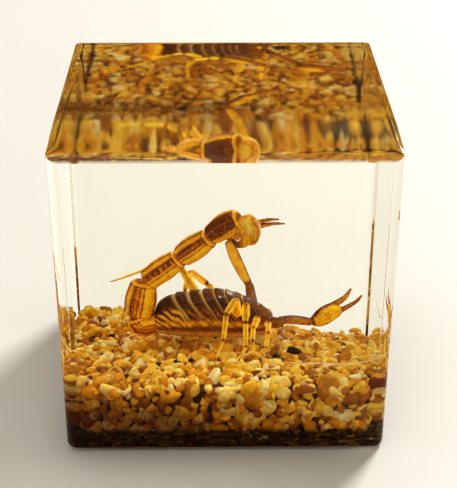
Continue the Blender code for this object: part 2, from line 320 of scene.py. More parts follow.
def closed_rings(points: np.ndarray, marks: Marks) -> Shape:
    """Skin rings of points, the first and last of which shrink to a pole.

    Args:
        points: rings by sides by 3.
        marks: values for each point of each ring.

    Returns:
        A closed shape whose faces point out.
    """
    rings, sides = points.shape[:2]
    inner = points[1:-1]
    flat = np.concatenate([inner.reshape(-1, 3), points[:1, 0], points[-1:, 0]])
    first, last = len(flat) - 2, len(flat) - 1
    faces = [
        (row * sides + column, row * sides + after, (row + 1) * sides + after, (row + 1) * sides + column)
        for row in range(rings - 3)
        for column, after in ((c, (c + 1) % sides) for c in range(sides))
    ]
    low = (rings - 3) * sides
    faces += [(first, (c + 1) % sides, c) for c in range(sides)]
    faces += [(last, low + c, low + (c + 1) % sides) for c in range(sides)]
    values = {
        name: np.concatenate([grid[1:-1].reshape(-1), [grid[1].mean()], [grid[-2].mean()]])
        for name, grid in ((n, np.broadcast_to(g, points.shape[:2])) for n, g in marks.items())
    }
    return Shape(flat, outward(flat, faces), values)


def outward(points: np.ndarray, faces: list[tuple[int, ...]]) -> list[tuple[int, ...]]:
    """Turn the faces of a closed form so that they point out.

    Args:
        points: the form's points.
        faces: its faces, all turned the same way.

    Returns:
        The faces, reversed if they pointed in.
    """
    middle = points.mean(axis=0)
    volume = 0.0
    for face in faces:
        corner = points[list(face)] - middle
        volume += np.dot(corner[0], np.cross(corner[1], corner[2]))
        if len(face) == 4:
            volume += np.dot(corner[0], np.cross(corner[2], corner[3]))
    return faces if volume > 0 else [face[::-1] for face in faces]


def spike(base: Triple, tip: Triple, radius: float, dark: float = 0.8) -> Shape:
    """A small tapering tooth or claw.

    Args:
        base: where it stands.
        tip: where it points to.
        radius: its radius at the base.
        dark: how dark it is.

    Returns:
        A closed shape.
    """
    middle = tuple(0.5 * (a + b) for a, b in zip(base, tip))
    stations = ((*base, radius), (*middle, 0.65 * radius), (*tip, 0.12 * radius))
    forward = np.array(tip) - np.array(base)
    side = (0.0, 0.0, 1.0) if abs(forward[1]) > np.hypot(forward[0], forward[2]) else (0.0, -1.0, 0.0)
    return Sweep(stations, side=side, rings=7, sides=8, marks=partial(tones, dark=dark)).build()


def bead(station: Station) -> Shape:
    """A small ball.

    Args:
        station: its place and its radius.

    Returns:
        A closed shape.
    """
    x, y, z, radius = station
    stations = ((x, y, z - radius, radius), (x, y, z, radius), (x, y, z + radius, radius))
    return Sweep(stations, rings=13, sides=14, rounding=1.0).build()


# ------------------------------------------------------------------------------------------ shader parts


class NodeSheet:
    """A node tree that is being filled."""

    def __init__(self, tree: bpy.types.NodeTree) -> None:
        """Start on a tree."""
        self.tree = tree

    def feed(self, node: bpy.types.Node, values: dict) -> None:
        """Link or set a node's inputs.

        Args:
            node: the node.
            values: its inputs by name or number, each a socket to link or a value to set.
        """
        for key, value in values.items():
            named = (entry for entry in node.inputs if entry.name == key and entry.enabled)
            socket = node.inputs[key] if isinstance(key, int) else next(named)
            if isinstance(value, bpy.types.NodeSocket):
                self.tree.links.new(value, socket)
            else:
                socket.default_value = value

    def add(self, kind: str, values: dict | None = None, **settings: object) -> bpy.types.Node:
        """Add a node.

        Args:
            kind: the node's type.
            values: its inputs, as `feed` takes them.
            settings: the node's own properties.

        Returns:
            The node.
        """
        node = self.tree.nodes.new(kind)
        for name, value in settings.items():
            setattr(node, name, value)
        self.feed(node, values or {})
        return node

    def read(self, kind: str, values: dict | None = None, **settings: object) -> bpy.types.NodeSocket:
        """Add a node and give its first output."""
        return self.add(kind, values, **settings).outputs[0]

    def math(self, operation: str, *terms: object, clamp: bool = False) -> bpy.types.NodeSocket:
        """Add a Math node on sockets or numbers, and give its result."""
        return self.read("ShaderNodeMath", dict(enumerate(terms)), operation=operation, use_clamp=clamp)

    def vector(self, operation: str, *terms: object) -> bpy.types.NodeSocket:
        """Add a Vector Math node on vectors, or a vector and a number for SCALE, and give its result."""
        keys = (0, "Scale") if operation == "SCALE" else (0, 1)
        return self.read("ShaderNodeVectorMath", dict(zip(keys, terms)), operation=operation)

    def share(self, value: object, start: object, width: float) -> bpy.types.NodeSocket:
        """How far a value is past a start, as a share of a width that stays in 0 to 1."""
        return self.math("DIVIDE", self.math("SUBTRACT", value, start), width, clamp=True)

    def here(self) -> bpy.types.NodeSocket:
        """The object coordinates."""
        return self.add("ShaderNodeTexCoord").outputs["Object"]

    def parts(self, vector: bpy.types.NodeSocket) -> bpy.types.NodeOutputs:
        """A vector's X, Y and Z."""
        return self.add("ShaderNodeSeparateXYZ", {0: vector}).outputs

    def facing(self) -> bpy.types.NodeOutputs:
        """X, Y and Z of the way the surface faces."""
        return self.parts(self.add("ShaderNodeNewGeometry").outputs["Normal"])

    def mark(self, name: str) -> bpy.types.NodeSocket:
        """One of the piece's own marks."""
        return self.add("ShaderNodeAttribute", attribute_name=name).outputs["Fac"]

    def group(self, tree: bpy.types.NodeTree, values: dict | None = None) -> bpy.types.NodeOutputs:
        """Place a node group and give its outputs."""
        return self.add("ShaderNodeGroup", values, node_tree=tree).outputs

    def mix(self, share: object, first: object, second: object, blend: str = "MIX") -> bpy.types.NodeSocket:
        """Mix two colours or their sockets, by the share of the second."""
        node = self.add("ShaderNodeMix", {0: share, 6: first, 7: second}, data_type="RGBA", blend_type=blend)
        return node.outputs[2]

    def ramp(
        self, value: object, stops: Sequence[tuple[float, Colour]], steps: bool = False
    ) -> bpy.types.NodeSocket:
        """Read a colour off a ramp.

        Args:
            value: where to read it.
            stops: places and colours.
            steps: whether the colours change in steps.

        Returns:
            The colour.
        """
        node = self.add("ShaderNodeValToRGB", {0: value})
        node.color_ramp.interpolation = "CONSTANT" if steps else "LINEAR"
        elements = node.color_ramp.elements
        for place, colour in stops[2:]:
            elements.new(place)
        for element, (place, colour) in zip(elements, stops):
            element.position = place
            element.color = colour
        return node.outputs[0]

    def noise(
        self, where: object, scale: float, detail: float = 3.0, rough: float = 0.55
    ) -> bpy.types.NodeSocket:
        """Read a noise, about 0.5 on average, with its scale in cells a metre."""
        values = {"Vector": where, "Scale": scale, "Detail": detail, "Roughness": rough}
        return self.read("ShaderNodeTexNoise", values)

    def relief(
        self, height: object, strength: float, depth: float, inward: bool = False
    ) -> bpy.types.NodeSocket:
        """The surface normal as bent by a fine relief, whose depth is in millimetres."""
        values = {"Height": height, "Strength": strength, "Distance": depth * MM}
        return self.read("ShaderNodeBump", values, invert=inward)


class MaterialSheet(NodeSheet):
    """A new material that is being filled, with its Principled shader."""

    def __init__(self, name: str) -> None:
        """Start the material of that name."""
        self.material = bpy.data.materials.new(name)
        self.material.use_nodes = True
        super().__init__(self.material.node_tree)

    def shade(self, values: dict) -> bpy.types.Material:
        """Fill the shader's inputs and give the material."""
        self.feed(self.tree.nodes["Principled BSDF"], values)
        return self.material


def new_group(name: str, inputs: dict[str, str], outputs: dict[str, str]) -> NodeSheet:
    """Start a shader node group.

    Args:
        name: the group's name.
        inputs: names, and Color or Float for each.
        outputs: the same for what it gives.

    Returns:
        A sheet on the group.
    """
    tree = bpy.data.node_groups.new(name, "ShaderNodeTree")
    for way, sockets in (("INPUT", inputs), ("OUTPUT", outputs)):
        for label, kind in sockets.items():
            tree.interface.new_socket(label, in_out=way, socket_type="NodeSocket" + kind)
    return NodeSheet(tree)


@dataclass(frozen=True)
class Mottle:
    """Uneven tone in two sizes, and a fine relief, read in object coordinates."""

    # How much the coarse size counts in the tone, next to the fine one.
    coarse_share: float = 0.6

    def group(self) -> bpy.types.NodeTree:
        """Make the node group.

        Returns:
            The group, with Tone around 1 and Relief around 0.5.
        """
        inputs = {"Coarse Scale": "Float", "Fine Scale": "Float", "Strength": "Float"}
        sheet = new_group("uneven tone", inputs, {"Tone": "Float", "Relief": "Float"})
        given = sheet.add("NodeGroupInput").outputs
        where = sheet.here()
        coarse = sheet.noise(where, given["Coarse Scale"], detail=2.0)
        fine = sheet.noise(where, given["Fine Scale"], detail=4.0)
        coarse_part = sheet.math("MULTIPLY", coarse, self.coarse_share)
        both = sheet.math("ADD", coarse_part, sheet.math("MULTIPLY", fine, 1.0 - self.coarse_share))
        swing = sheet.math("MULTIPLY", sheet.math("SUBTRACT", both, 0.5), given["Strength"])
        tone = sheet.math("MULTIPLY_ADD", swing, 2.0, 1.0)
        sheet.add("NodeGroupOutput", {"Tone": tone, "Relief": fine})
        return sheet.tree


@dataclass(frozen=True)
class DepthShade:
    """Painted shade on the bed: it darkens downwards and to the left, where little light comes, and along the
    back wall.
    """

    # The heights in millimetres where it is darkest and from which it is clear.
    low: float = 2.9
    high: float = 9.2
    # How much a point counts as higher to the right, and to the back from a line before the middle.
    right_rise: float = 0.22
    back_rise: float = 0.35
    line: float = 12.0
    wave: float = 4.0
    wave_scale: float = 160.0
    stops: tuple[tuple[float, Colour], ...] = (
        (0.0, (0.42, 0.29, 0.18, 1.0)), (0.4, (0.80, 0.68, 0.50, 1.0)), (1.0, WHITE),
    )
    # The painted shade at the foot: the height from which it fades, and over how much.
    foot: tuple[float, float] = (2.8, 0.7)
    painted_foot_shade: Colour = (0.10, 0.06, 0.04, 1.0)
    # The strip of painted shade along the back wall: where it ends and how wide it is, then the same for its
    # lower end.
    rear: tuple[float, float] = (19.5, 3.0)
    rear_foot: tuple[float, float] = (7.6, 1.6)
    painted_rear_shade: Colour = (0.55, 0.46, 0.38, 1.0)

    def group(self) -> bpy.types.NodeTree:
        """Make the node group, with a Shade that colours are multiplied by."""
        sheet = new_group("depth shade", {}, {"Shade": "Color"})
        where = sheet.here()
        parts = sheet.parts(where)
        behind = sheet.math("MAXIMUM", sheet.math("ADD", parts["Y"], self.line * MM), 0.0)
        height = sheet.math("MULTIPLY_ADD", behind, self.back_rise, parts["Z"])
        height = sheet.math("MULTIPLY_ADD", parts["X"], self.right_rise, height)
        wave = sheet.math("SUBTRACT", sheet.noise(where, self.wave_scale, detail=1.0), 0.5)
        raised = sheet.math("MULTIPLY_ADD", wave, self.wave * MM, height)
        shade = sheet.ramp(sheet.share(raised, self.low * MM, (self.high - self.low) * MM), self.stops)
        foot = sheet.share(parts["Z"], self.foot[0] * MM, self.foot[1] * MM)
        rear = sheet.share(self.rear[0] * MM, parts["Y"], self.rear[1] * MM)
        sunk = sheet.share(self.rear_foot[0] * MM, parts["Z"], self.rear_foot[1] * MM)
        # Painted shade: near black at the bed's foot, and a darker strip along the back wall above its lower
        # end.
        footed = sheet.mix(foot, self.painted_foot_shade, shade)
        rear_shaded = sheet.mix(1.0, footed, self.painted_rear_shade, blend="MULTIPLY")
        backed = sheet.mix(sheet.math("MAXIMUM", rear, sunk), rear_shaded, footed)
        sheet.add("NodeGroupOutput", {"Shade": backed})
        return sheet.tree


@dataclass(frozen=True)
class ShellPattern:
    """The specimen's shell: light plates, darker grooves, pale edges and painted highlights, from the piece's
    marks, and a painted glow for light that shines through it.
    """

    coarse_scale: float = 900.0
    fine_scale: float = 3600.0
    # How fast the painted glow, which stands for light inside the shell, dies away as the shell darkens, and
    # how much the streaks stand out.
    painted_glow_fall: float = 1.6
    streak_height: float = 1.5
    # The streaks' cells round a limb, along it and over all, and how strongly they are drawn.
    streak_round: float = 3.0
    streak_run: float = 0.6
    streak_scale: float = 3.6
    streak_contrast: float = 3.0

    def group(self, mottle: bpy.types.NodeTree) -> bpy.types.NodeTree:
        """Make the node group.

        Args:
            mottle: the uneven tone group.

        Returns:
            The group, with Color, Roughness, Height and the colour of its painted glow.
        """
        colours = dict.fromkeys(("Light", "Middle", "Deep", "Edge and Highlight"), "Color")
        amounts = dict.fromkeys(("Unevenness", "Streaks", "Gloss"), "Float")
        outputs = {"Color": "Color", "Roughness": "Float", "Height": "Float", "Painted Glow": "Color"}
        sheet = new_group("shell colour", colours | amounts, outputs)
        given = sheet.add("NodeGroupInput").outputs
        scales = {"Coarse Scale": self.coarse_scale, "Fine Scale": self.fine_scale}
        blotched = sheet.group(mottle, scales | {"Strength": given["Unevenness"]})
        streak = sheet.math("SUBTRACT", self._streaks(sheet), 0.5)
        blotch = sheet.math("SUBTRACT", blotched["Tone"], 1.0)
        uneven = sheet.math("MULTIPLY_ADD", streak, given["Streaks"], blotch)
        shade = sheet.math("ADD", sheet.mark("dark"), uneven, clamp=True)
        lower = sheet.mix(sheet.math("MULTIPLY", shade, 2.0, clamp=True), given["Light"], given["Middle"])
        upper = sheet.mix(sheet.math("MULTIPLY_ADD", shade, 2.0, -1.0, clamp=True), lower, given["Deep"])
        # Pale edges and painted highlights take the edge colour.
        colour = sheet.mix(sheet.mark("pale_and_highlight"), upper, given["Edge and Highlight"])
        rough = sheet.math("MULTIPLY", given["Gloss"], blotched["Tone"], clamp=True)
        # Painted glow: where the shell is light, its colour is also given off as emission, standing for light
        # that shines through the shell.
        clear = sheet.math("SUBTRACT", 1.0, sheet.math("MULTIPLY", shade, self.painted_glow_fall), clamp=True)
        painted_glow = sheet.mix(clear, BLACK, colour)
        height = sheet.math("MULTIPLY_ADD", streak, self.streak_height, blotched["Relief"])
        sheet.add("NodeGroupOutput", {"Color": colour, "Roughness": rough, "Height": height, "Painted Glow": painted_glow})
        return sheet.tree

    def _streaks(self, sheet: NodeSheet) -> bpy.types.NodeSocket:
        """A noise drawn out along a limb, read from the piece's own marks.

        Args:
            sheet: the tree's sheet.

        Returns:
            The noise, spread over 0 to 1.
        """
        cells = {"round_x": self.streak_round, "round_y": self.streak_round, "run": self.streak_run}
        places = [sheet.math("MULTIPLY", sheet.mark(mark), count) for mark, count in cells.items()]
        spot = sheet.read("ShaderNodeCombineXYZ", dict(enumerate(places)))
        noise = sheet.noise(spot, self.streak_scale, detail=3.0, rough=0.6)
        centred = sheet.math("SUBTRACT", noise, 0.5)
        return sheet.math("MULTIPLY_ADD", centred, self.streak_contrast, 0.5, clamp=True)


# ---------------------------------------------------------------------------------------------- finishes


@dataclass(frozen=True)
class ResinFinish:
    """Clear cast resin with a faint warm tint that deepens with its thickness."""

    index: float = 1.55
    # The top's faint waviness from the pour, which softens what is seen through it.
    top_roughness: float = 0.085
    top_from: float = 35.0
    # The rear upright roundings, as cast and never polished.
    rear_roughness: float = 0.5
    rear_from: float = 18.6
    # How far a face turns up or down, aside and to the rear to count as the top or such a rounding.
    level_turn: float = 0.7
    side_turn: float = 0.12
    rear_turn: float = 0.08
    # How strongly the polished faces mirror what stands before them, full at 1.
    sheen: float = 0.3
    tint: Colour = (0.93, 0.89, 0.58, 1.0)
    tint_density: float = 5.0

    def material(self) -> bpy.types.Material:
        """Make the material."""
        sheet = MaterialSheet("clear_resin")
        where, facing = sheet.parts(sheet.here()), sheet.facing()
        level = sheet.math("GREATER_THAN", sheet.math("ABSOLUTE", facing["Z"]), self.level_turn)
        high = sheet.math("GREATER_THAN", where["Z"], self.top_from * MM)
        top = sheet.math("MULTIPLY", sheet.math("MULTIPLY", level, high), self.top_roughness)
        behind = sheet.math("GREATER_THAN", where["Y"], self.rear_from * MM)
        aside = sheet.math("GREATER_THAN", sheet.math("ABSOLUTE", facing["X"]), self.side_turn)
        turned = sheet.math("GREATER_THAN", facing["Y"], self.rear_turn)
        corner = sheet.math("MULTIPLY", sheet.math("MULTIPLY", behind, aside), turned)
        body = sheet.read("ShaderNodeVolumeAbsorption", {"Color": self.tint, "Density": self.tint_density})
        sheet.feed(sheet.tree.nodes["Material Output"], {"Volume": body})
        return sheet.shade({
            "Base Color": WHITE,
            "Roughness": sheet.math("MULTIPLY_ADD", corner, self.rear_roughness, top),
            "IOR": self.index,
            "Transmission Weight": 1.0,
            "Specular Tint": (self.sheen, self.sheen, self.sheen, 1.0),
        })


@dataclass(frozen=True)
class SeamFinish:
    """The pale line and dots where light catches on the inside of the resin, with a painted glow."""

    colour: Colour = paint(214, 190, 150)
    # Strength of the painted glow: emission that makes the seam and bubbles shine as if catching light.
    painted_glow: float = 0.35
    roughness: float = 0.3

    def material(self) -> bpy.types.Material:
        """Make the material."""
        return MaterialSheet("resin_seam").shade({
            "Base Color": self.colour,
            "Roughness": self.roughness,
            "Emission Color": self.colour,
            "Emission Strength": self.painted_glow,
        })


@dataclass(frozen=True)
class PebbleFinish:
    """Small river pebbles: each grain takes its colour from its own tone, with painted shade on its underside
    and rear faces and a painted glow.
    """

    relief: float = 0.25
    relief_depth: float = 0.1
    # A painted glow: emission in the grains' own colour that stands for light shining through them.
    painted_glow: float = 0.14
    palette: tuple[tuple[float, Colour], ...] = (
        (0.00, paint(248, 230, 170)),
        (0.07, paint(246, 218, 124)),
        (0.20, paint(242, 202, 80)),
        (0.38, paint(236, 184, 52)),
        (0.55, paint(222, 162, 36)),
        (0.68, paint(202, 142, 36)),
        (0.80, paint(174, 116, 34)),
        (0.88, paint(244, 222, 150)),
        (0.95, paint(178, 108, 34)),
        (0.98, paint(140, 70, 30)),
        (0.988, paint(66, 42, 32)),
    )
    # Painted shade: the darker, deeper tint put on each grain's faces turned down and to the back, and how
    # fast it gives way on faces turned upwards and to the front.
    under: Colour = (0.60, 0.40, 0.17, 1.0)
    upward: float = 0.7
    rearward: float = -0.42
    level: float = 0.42

    def material(self, mottle: bpy.types.NodeTree, depth: bpy.types.NodeTree) -> bpy.types.Material:
        """Make the material.

        Args:
            mottle: the uneven tone group.
            depth: the group that paints shade on the bed, darker downwards.

        Returns:
            The material.
        """
        sheet = MaterialSheet("pebble")
        uneven = sheet.group(mottle, {"Coarse Scale": 900.0, "Fine Scale": 3000.0, "Strength": 0.7})
        stone = sheet.ramp(sheet.mark("tone"), self.palette, steps=True)
        bright = sheet.read("ShaderNodeHueSaturation", {"Color": stone, "Value": uneven["Tone"]})
        # Painted shade: each grain is darkened on faces turned down and to the back, and left lighter on
        # faces turned up and to the front.
        facing = sheet.facing()
        share = sheet.math("MULTIPLY_ADD", facing["Z"], self.upward, self.level)
        share = sheet.math("MULTIPLY_ADD", facing["Y"], self.rearward, share, clamp=True)
        lit = sheet.mix(1.0, bright, sheet.mix(share, self.under, WHITE), blend="MULTIPLY")
        colour = sheet.mix(1.0, lit, sheet.group(depth)[0], blend="MULTIPLY")
        return sheet.shade({
            "Base Color": colour,
            "Emission Color": colour,
            "Emission Strength": self.painted_glow,
            "Normal": sheet.relief(uneven["Relief"], self.relief, self.relief_depth),
            "Roughness": 0.35,
            "Specular IOR Level": 0.2,
            "Subsurface Weight": 0.5,
            "Subsurface Radius": (1.0, 0.68, 0.26),
            "Subsurface Scale": 1.2 * MM,
        })


@dataclass(frozen=True)
class GapShadeFinish:
    """A sheet under the pebbles, with a pattern of fine grains, painted dark as the shade that shows between
    them.
    """

    light: Colour = paint(150, 92, 34)
    dark: Colour = paint(46, 24, 10)
    cell: float = 0.9
    relief: float = 0.6
    relief_depth: float = 0.3
    roughness: float = 0.6

    def material(self, depth: bpy.types.NodeTree) -> bpy.types.Material:
        """Make the material.

        Args:
            depth: the group that paints shade on the bed, darker downwards.

        Returns:
            The material.
        """
        sheet = MaterialSheet("grit")
        values = {"Vector": sheet.here(), "Scale": 1.0 / (self.cell * MM)}
        cells = sheet.add("ShaderNodeTexVoronoi", values).outputs
        # Painted shade: the sheet's dark cells stand for the shade that shows between the pebbles.
        grains = sheet.mix(cells["Color"], self.dark, self.light)
        return sheet.shade({
            "Base Color": sheet.mix(1.0, grains, sheet.group(depth)[0], blend="MULTIPLY"),
            "Normal": sheet.relief(cells["Distance"], self.relief, self.relief_depth, inward=True),
            "Roughness": self.roughness,
        })


@dataclass(frozen=True)
class ShellFinish:
    """A finish of the specimen's shell."""

    name: str
    light: Colour
    middle: Colour
    deep: Colour
    # The colour of pale edges and of painted highlights.
    edge_and_highlight: Colour
    # Strength of the painted glow: emission that stands for light shining through the shell.
    painted_glow: float
    gloss: float = 0.22
    unevenness: float = 0.5
    streaks: float = 0.35
    relief: float = 0.25
    relief_depth: float = 0.05
    coat: float = 0.5
    sheen: float = 0.3
    softness: float = 0.3

    def material(self, shell: bpy.types.NodeTree) -> bpy.types.Material:
        """Make the material.

        Args:
            shell: the shell colour group.

        Returns:
            The material.
        """
        sheet = MaterialSheet(self.name)
        given = sheet.group(shell, {
            "Light": self.light, "Middle": self.middle, "Deep": self.deep, "Edge and Highlight": self.edge_and_highlight,
            "Unevenness": self.unevenness, "Streaks": self.streaks, "Gloss": self.gloss,
        })
        return sheet.shade({
            "Base Color": given["Color"],
            "Roughness": given["Roughness"],
            "Normal": sheet.relief(given["Height"], self.relief, self.relief_depth),
            "Emission Color": given["Painted Glow"],
            "Emission Strength": self.painted_glow,
            "Specular IOR Level": self.sheen,
            "Coat Weight": self.coat,
            "Coat Roughness": 0.08,
            "Subsurface Weight": self.softness,
            "Subsurface Radius": (1.0, 0.6, 0.25),
            "Subsurface Scale": 0.6 * MM,
        })


SHELL_FINISHES = {
    Look.TRUNK: ShellFinish(
        "trunk_shell", paint(255, 198, 40), paint(186, 118, 28), paint(84, 46, 32), paint(246, 206, 130), 0.1,
        coat=0.06, gloss=0.2, sheen=0.12, unevenness=0.35, streaks=0.3,
    ),
    Look.TAIL: ShellFinish(
        "tail_shell", paint(255, 204, 14), paint(236, 146, 4), paint(138, 68, 14), paint(255, 224, 100), 0.24,
        coat=0.15, streaks=0.5,
    ),
    Look.STING: ShellFinish(
        "sting_shell", paint(255, 206, 20), paint(224, 130, 6), paint(96, 34, 14), paint(255, 236, 140), 0.18,
        coat=0.6, streaks=0.7, relief=0.6,
    ),
    Look.ARM: ShellFinish(
        "arm_shell", paint(255, 208, 50), paint(222, 142, 18), paint(98, 48, 18), paint(250, 216, 130), 0.27,
        coat=0.15, streaks=0.5,
    ),
    Look.HAND: ShellFinish(
        "hand_shell", paint(255, 210, 10), paint(234, 140, 8), paint(112, 52, 14), paint(255, 232, 110), 0.26,
        coat=0.2, streaks=0.6, unevenness=0.9,
    ),
    Look.LEG: ShellFinish(
        "leg_shell", paint(255, 226, 70), paint(240, 168, 20), paint(120, 64, 14), paint(255, 240, 150), 0.3,
        coat=0.3, streaks=0.5,
    ),
    Look.EYE: ShellFinish(
        "eye_shell", paint(30, 16, 12), paint(24, 12, 10), paint(16, 8, 8), paint(60, 40, 30), 0.0, gloss=0.1
    ),
}


@dataclass
class Finishes:
    """All the materials, made once and shared by the pieces."""

    resin: bpy.types.Material
    seam: bpy.types.Material
    pebble: bpy.types.Material
    grit: bpy.types.Material
    shell: dict[Look, bpy.types.Material]

    @classmethod
    def make(cls) -> "Finishes":
        """Make every material."""
        mottle = Mottle().group()
        depth = DepthShade().group()
        shell = ShellPattern().group(mottle)
        return cls(
            resin=ResinFinish().material(),
            seam=SeamFinish().material(),
            pebble=PebbleFinish().material(mottle, depth),
            grit=GapShadeFinish().material(depth),
            shell={look: finish.material(shell) for look, finish in SHELL_FINISHES.items()},
        )


def attach(piece: bpy.types.Object, slot: Slot, *nodes: str) -> None:
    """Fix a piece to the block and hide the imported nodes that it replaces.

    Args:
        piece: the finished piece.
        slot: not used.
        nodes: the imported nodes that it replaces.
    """
    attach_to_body(piece, BODY)
    if nodes:
        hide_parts(*nodes)
    LOG.info("%s: %d faces", piece.name, len(piece.data.polygons))


# ------------------------------------------------------------------------------------------- resin block


@dataclass
class ResinBlock:
    """The clear block: rounded edges, and a top that dips to a crease over the front face."""

    low: Vector
    high: Vector
    # How far the roundings reach in from the walls, up from the base and down from the top.
    reach: float = 1.8
    base_rise: float = 1.0
    top_drop: float = 0.45
    # The top's rounding over the front face, and how far back it grows to its full depth.
    crease_drop: float = 0.02
    crease_reach: float = 5.0
    # How square a rounding is: the usual one, the base's and that of the rear upright edges.
    round_power: float = 2.0
    base_power: float = 3.0
    rear_power: float = 7.0
    # The angle in degrees from which an edge is shaded as a sharp one.
    sharp_from: float = 25.0
    # The grid's cells in each rounding, its levels up the wall and its columns between the roundings.
    steps: int = 9
    wall_levels: int = 14
    columns: int = 10
    # How far those columns and rows keep from the roundings, the end and the stride of the fine rows
    # behind the front face, and the start and the number of the coarse ones.
    margin: float = 0.15
    fine_rows: tuple[float, float] = (12.0, 0.25)
    coarse_rows: tuple[float, int] = (13.0, 8)
    # The top's slope in degrees where it dips to the front, by the distance from the front face.
    front_slopes: tuple[tuple[float, float], ...] = (
        (11.5, 0.0), (9.0, 1.8), (7.0, 4.2), (5.0, 6.4), (3.0, 8.6), (1.9, 12.0), (1.1, 18.0), (0.4, 25.8),
        (0.0, 27.5)
    )
    front_steps: int = 48

    def _front_dip(self) -> np.ndarray:
        """The top's dip to the front by the table of slopes.

        Returns:
            Rows of distance from the front face and depth below the top, in millimetres.
        """
        places, slopes = np.array(self.front_slopes).T
        distance = np.linspace(places[0], places[-1], self.front_steps)
        grade = np.tan(np.radians(np.interp(-distance, -places, slopes)))
        strides = -np.diff(distance)
        depth = np.concatenate([[0.0], np.cumsum(0.5 * (grade[1:] + grade[:-1]) * strides)])
        return np.column_stack([distance, depth])[::-1]

    def _lines(self, low: float, high: float, between: np.ndarray) -> np.ndarray:
        """Grid lines across one pair of walls, close together in the roundings at both ends."""
        cell = self.reach * self._rounding()
        return np.concatenate([low + cell, low + between, high - cell[::-1]])

    def _rounding(self) -> np.ndarray:
        """Shares of a rounding's reach at even angles, from 0 at its outer end."""
        return 1.0 - np.tan(np.linspace(np.pi / 4.0, 0.0, self.steps + 1))

    def _levels(self) -> np.ndarray:
        """Rows of grid levels: shares of the base's rounding, of the wall and of the top's rounding."""
        cell = self._rounding()
        wall = np.linspace(0.0, 1.0, self.wall_levels)[1:-1]
        blank = np.zeros_like
        return np.concatenate([
            np.column_stack([cell, blank(cell), blank(cell)]),
            np.column_stack([blank(wall) + 1.0, wall, blank(wall)]),
            np.column_stack([blank(cell) + 1.0, blank(cell) + 1.0, 1.0 - cell[::-1]]),
        ])

    def _place(self, x: float, y: float, level: np.ndarray, dip: np.ndarray) -> np.ndarray:
        """Where a point of the squared-up grid lies on the rounded block.

        Args:
            x: its place across, in millimetres.
            y: its place front to back.
            level: its row of `_levels`.
            dip: the table of the top's dip.

        Returns:
            Its place in millimetres.
        """
        low, high = np.array(self.low) / MM, np.array(self.high) / MM
        grown = float(step_up(np.array(y - low[1]), 0.0, self.crease_reach))
        drop = self.crease_drop + (self.top_drop - self.crease_drop) * grown
        wall = high[2] - drop - low[2] - self.base_rise
        z = low[2] + self.base_rise * level[0] + wall * level[1] + drop * level[2]
        middle = 0.5 * (low[2] + high[2])
        radii = np.array([self.reach, self.reach, self.base_rise if z < middle else drop])
        point = np.array([x, y, z])
        core = np.clip(point, low + radii, high - radii)
        outward_by = (point - core) / radii
        power = self.base_power if z < middle else self.round_power
        behind = y > 0.5 * (low[1] + high[1])
        corner_power = self.rear_power if behind else self.round_power
        sideways = float(np.sum(np.abs(outward_by[:2]) ** corner_power) ** (1.0 / corner_power))
        length = (sideways**power + abs(float(outward_by[2])) ** power) ** (1.0 / power)
        place = core + radii * outward_by / max(length, 1e-9)
        share = np.clip((place[2] - middle) / (high[2] - middle), 0.0, 1.0)
        place[2] -= share * np.interp(place[1] - low[1], dip[:, 0], dip[:, 1])
        return place

    def mesh(self) -> bpy.types.Mesh:
        """Skin the block with a grid of quads.

        Returns:
            The mesh, in metres.
        """
        low, high = np.array(self.low) / MM, np.array(self.high) / MM
        inner, size = self.reach + self.margin, high - low
        across = np.linspace(inner, size[0] - self.reach - self.margin, self.columns)
        fine = np.arange(inner, *self.fine_rows)
        coarse = np.linspace(self.coarse_rows[0], size[1] - self.reach - self.margin, self.coarse_rows[1])
        columns = self._lines(low[0], high[0], across)
        rows = self._lines(low[1], high[1], np.concatenate([fine, coarse]))
        levels = self._levels()
        counts = (len(columns), len(rows), len(levels))
        dip = self._front_dip()
        shape = bmesh.new()
        known = {}

        def vertex(index: tuple[int, int, int]) -> bmesh.types.BMVert:
            """The vertex at a place of the grid, made when it is first asked for."""
            if index not in known:
                place = self._place(columns[index[0]], rows[index[1]], levels[index[2]], dip)
                known[index] = shape.verts.new(place * MM)
            return known[index]

        for axis in range(3):
            first, second = (other for other in range(3) if other != axis)
            ends = (0, counts[axis] - 1)
            for end, p, q in product(ends, range(counts[first] - 1), range(counts[second] - 1)):
                face = []
                for step in ((0, 0), (1, 0), (1, 1), (0, 1)):
                    index = [end, end, end]
                    index[first], index[second] = p + step[0], q + step[1]
                    face.append(vertex(tuple(index)))
                shape.faces.new(face)
        bmesh.ops.recalc_face_normals(shape, faces=shape.faces)
        mesh = bpy.data.meshes.new("resin_block")
        shape.to_mesh(mesh)
        shape.free()
        return mesh

    def build(self, finishes: Finishes) -> bpy.types.Object:
        """Make the block in place of the two halves.

        Args:
            finishes: the materials.

        Returns:
            The piece.
        """
        mesh = self.mesh()
        mesh.materials.append(finishes.resin)
        mesh.shade_smooth()
        mesh.set_sharp_from_angle(angle=math.radians(self.sharp_from))
        block = in_scene("resin_block", mesh)
        attach(block, Slot.RESIN, "resin_lower", "resin_upper")
        return block


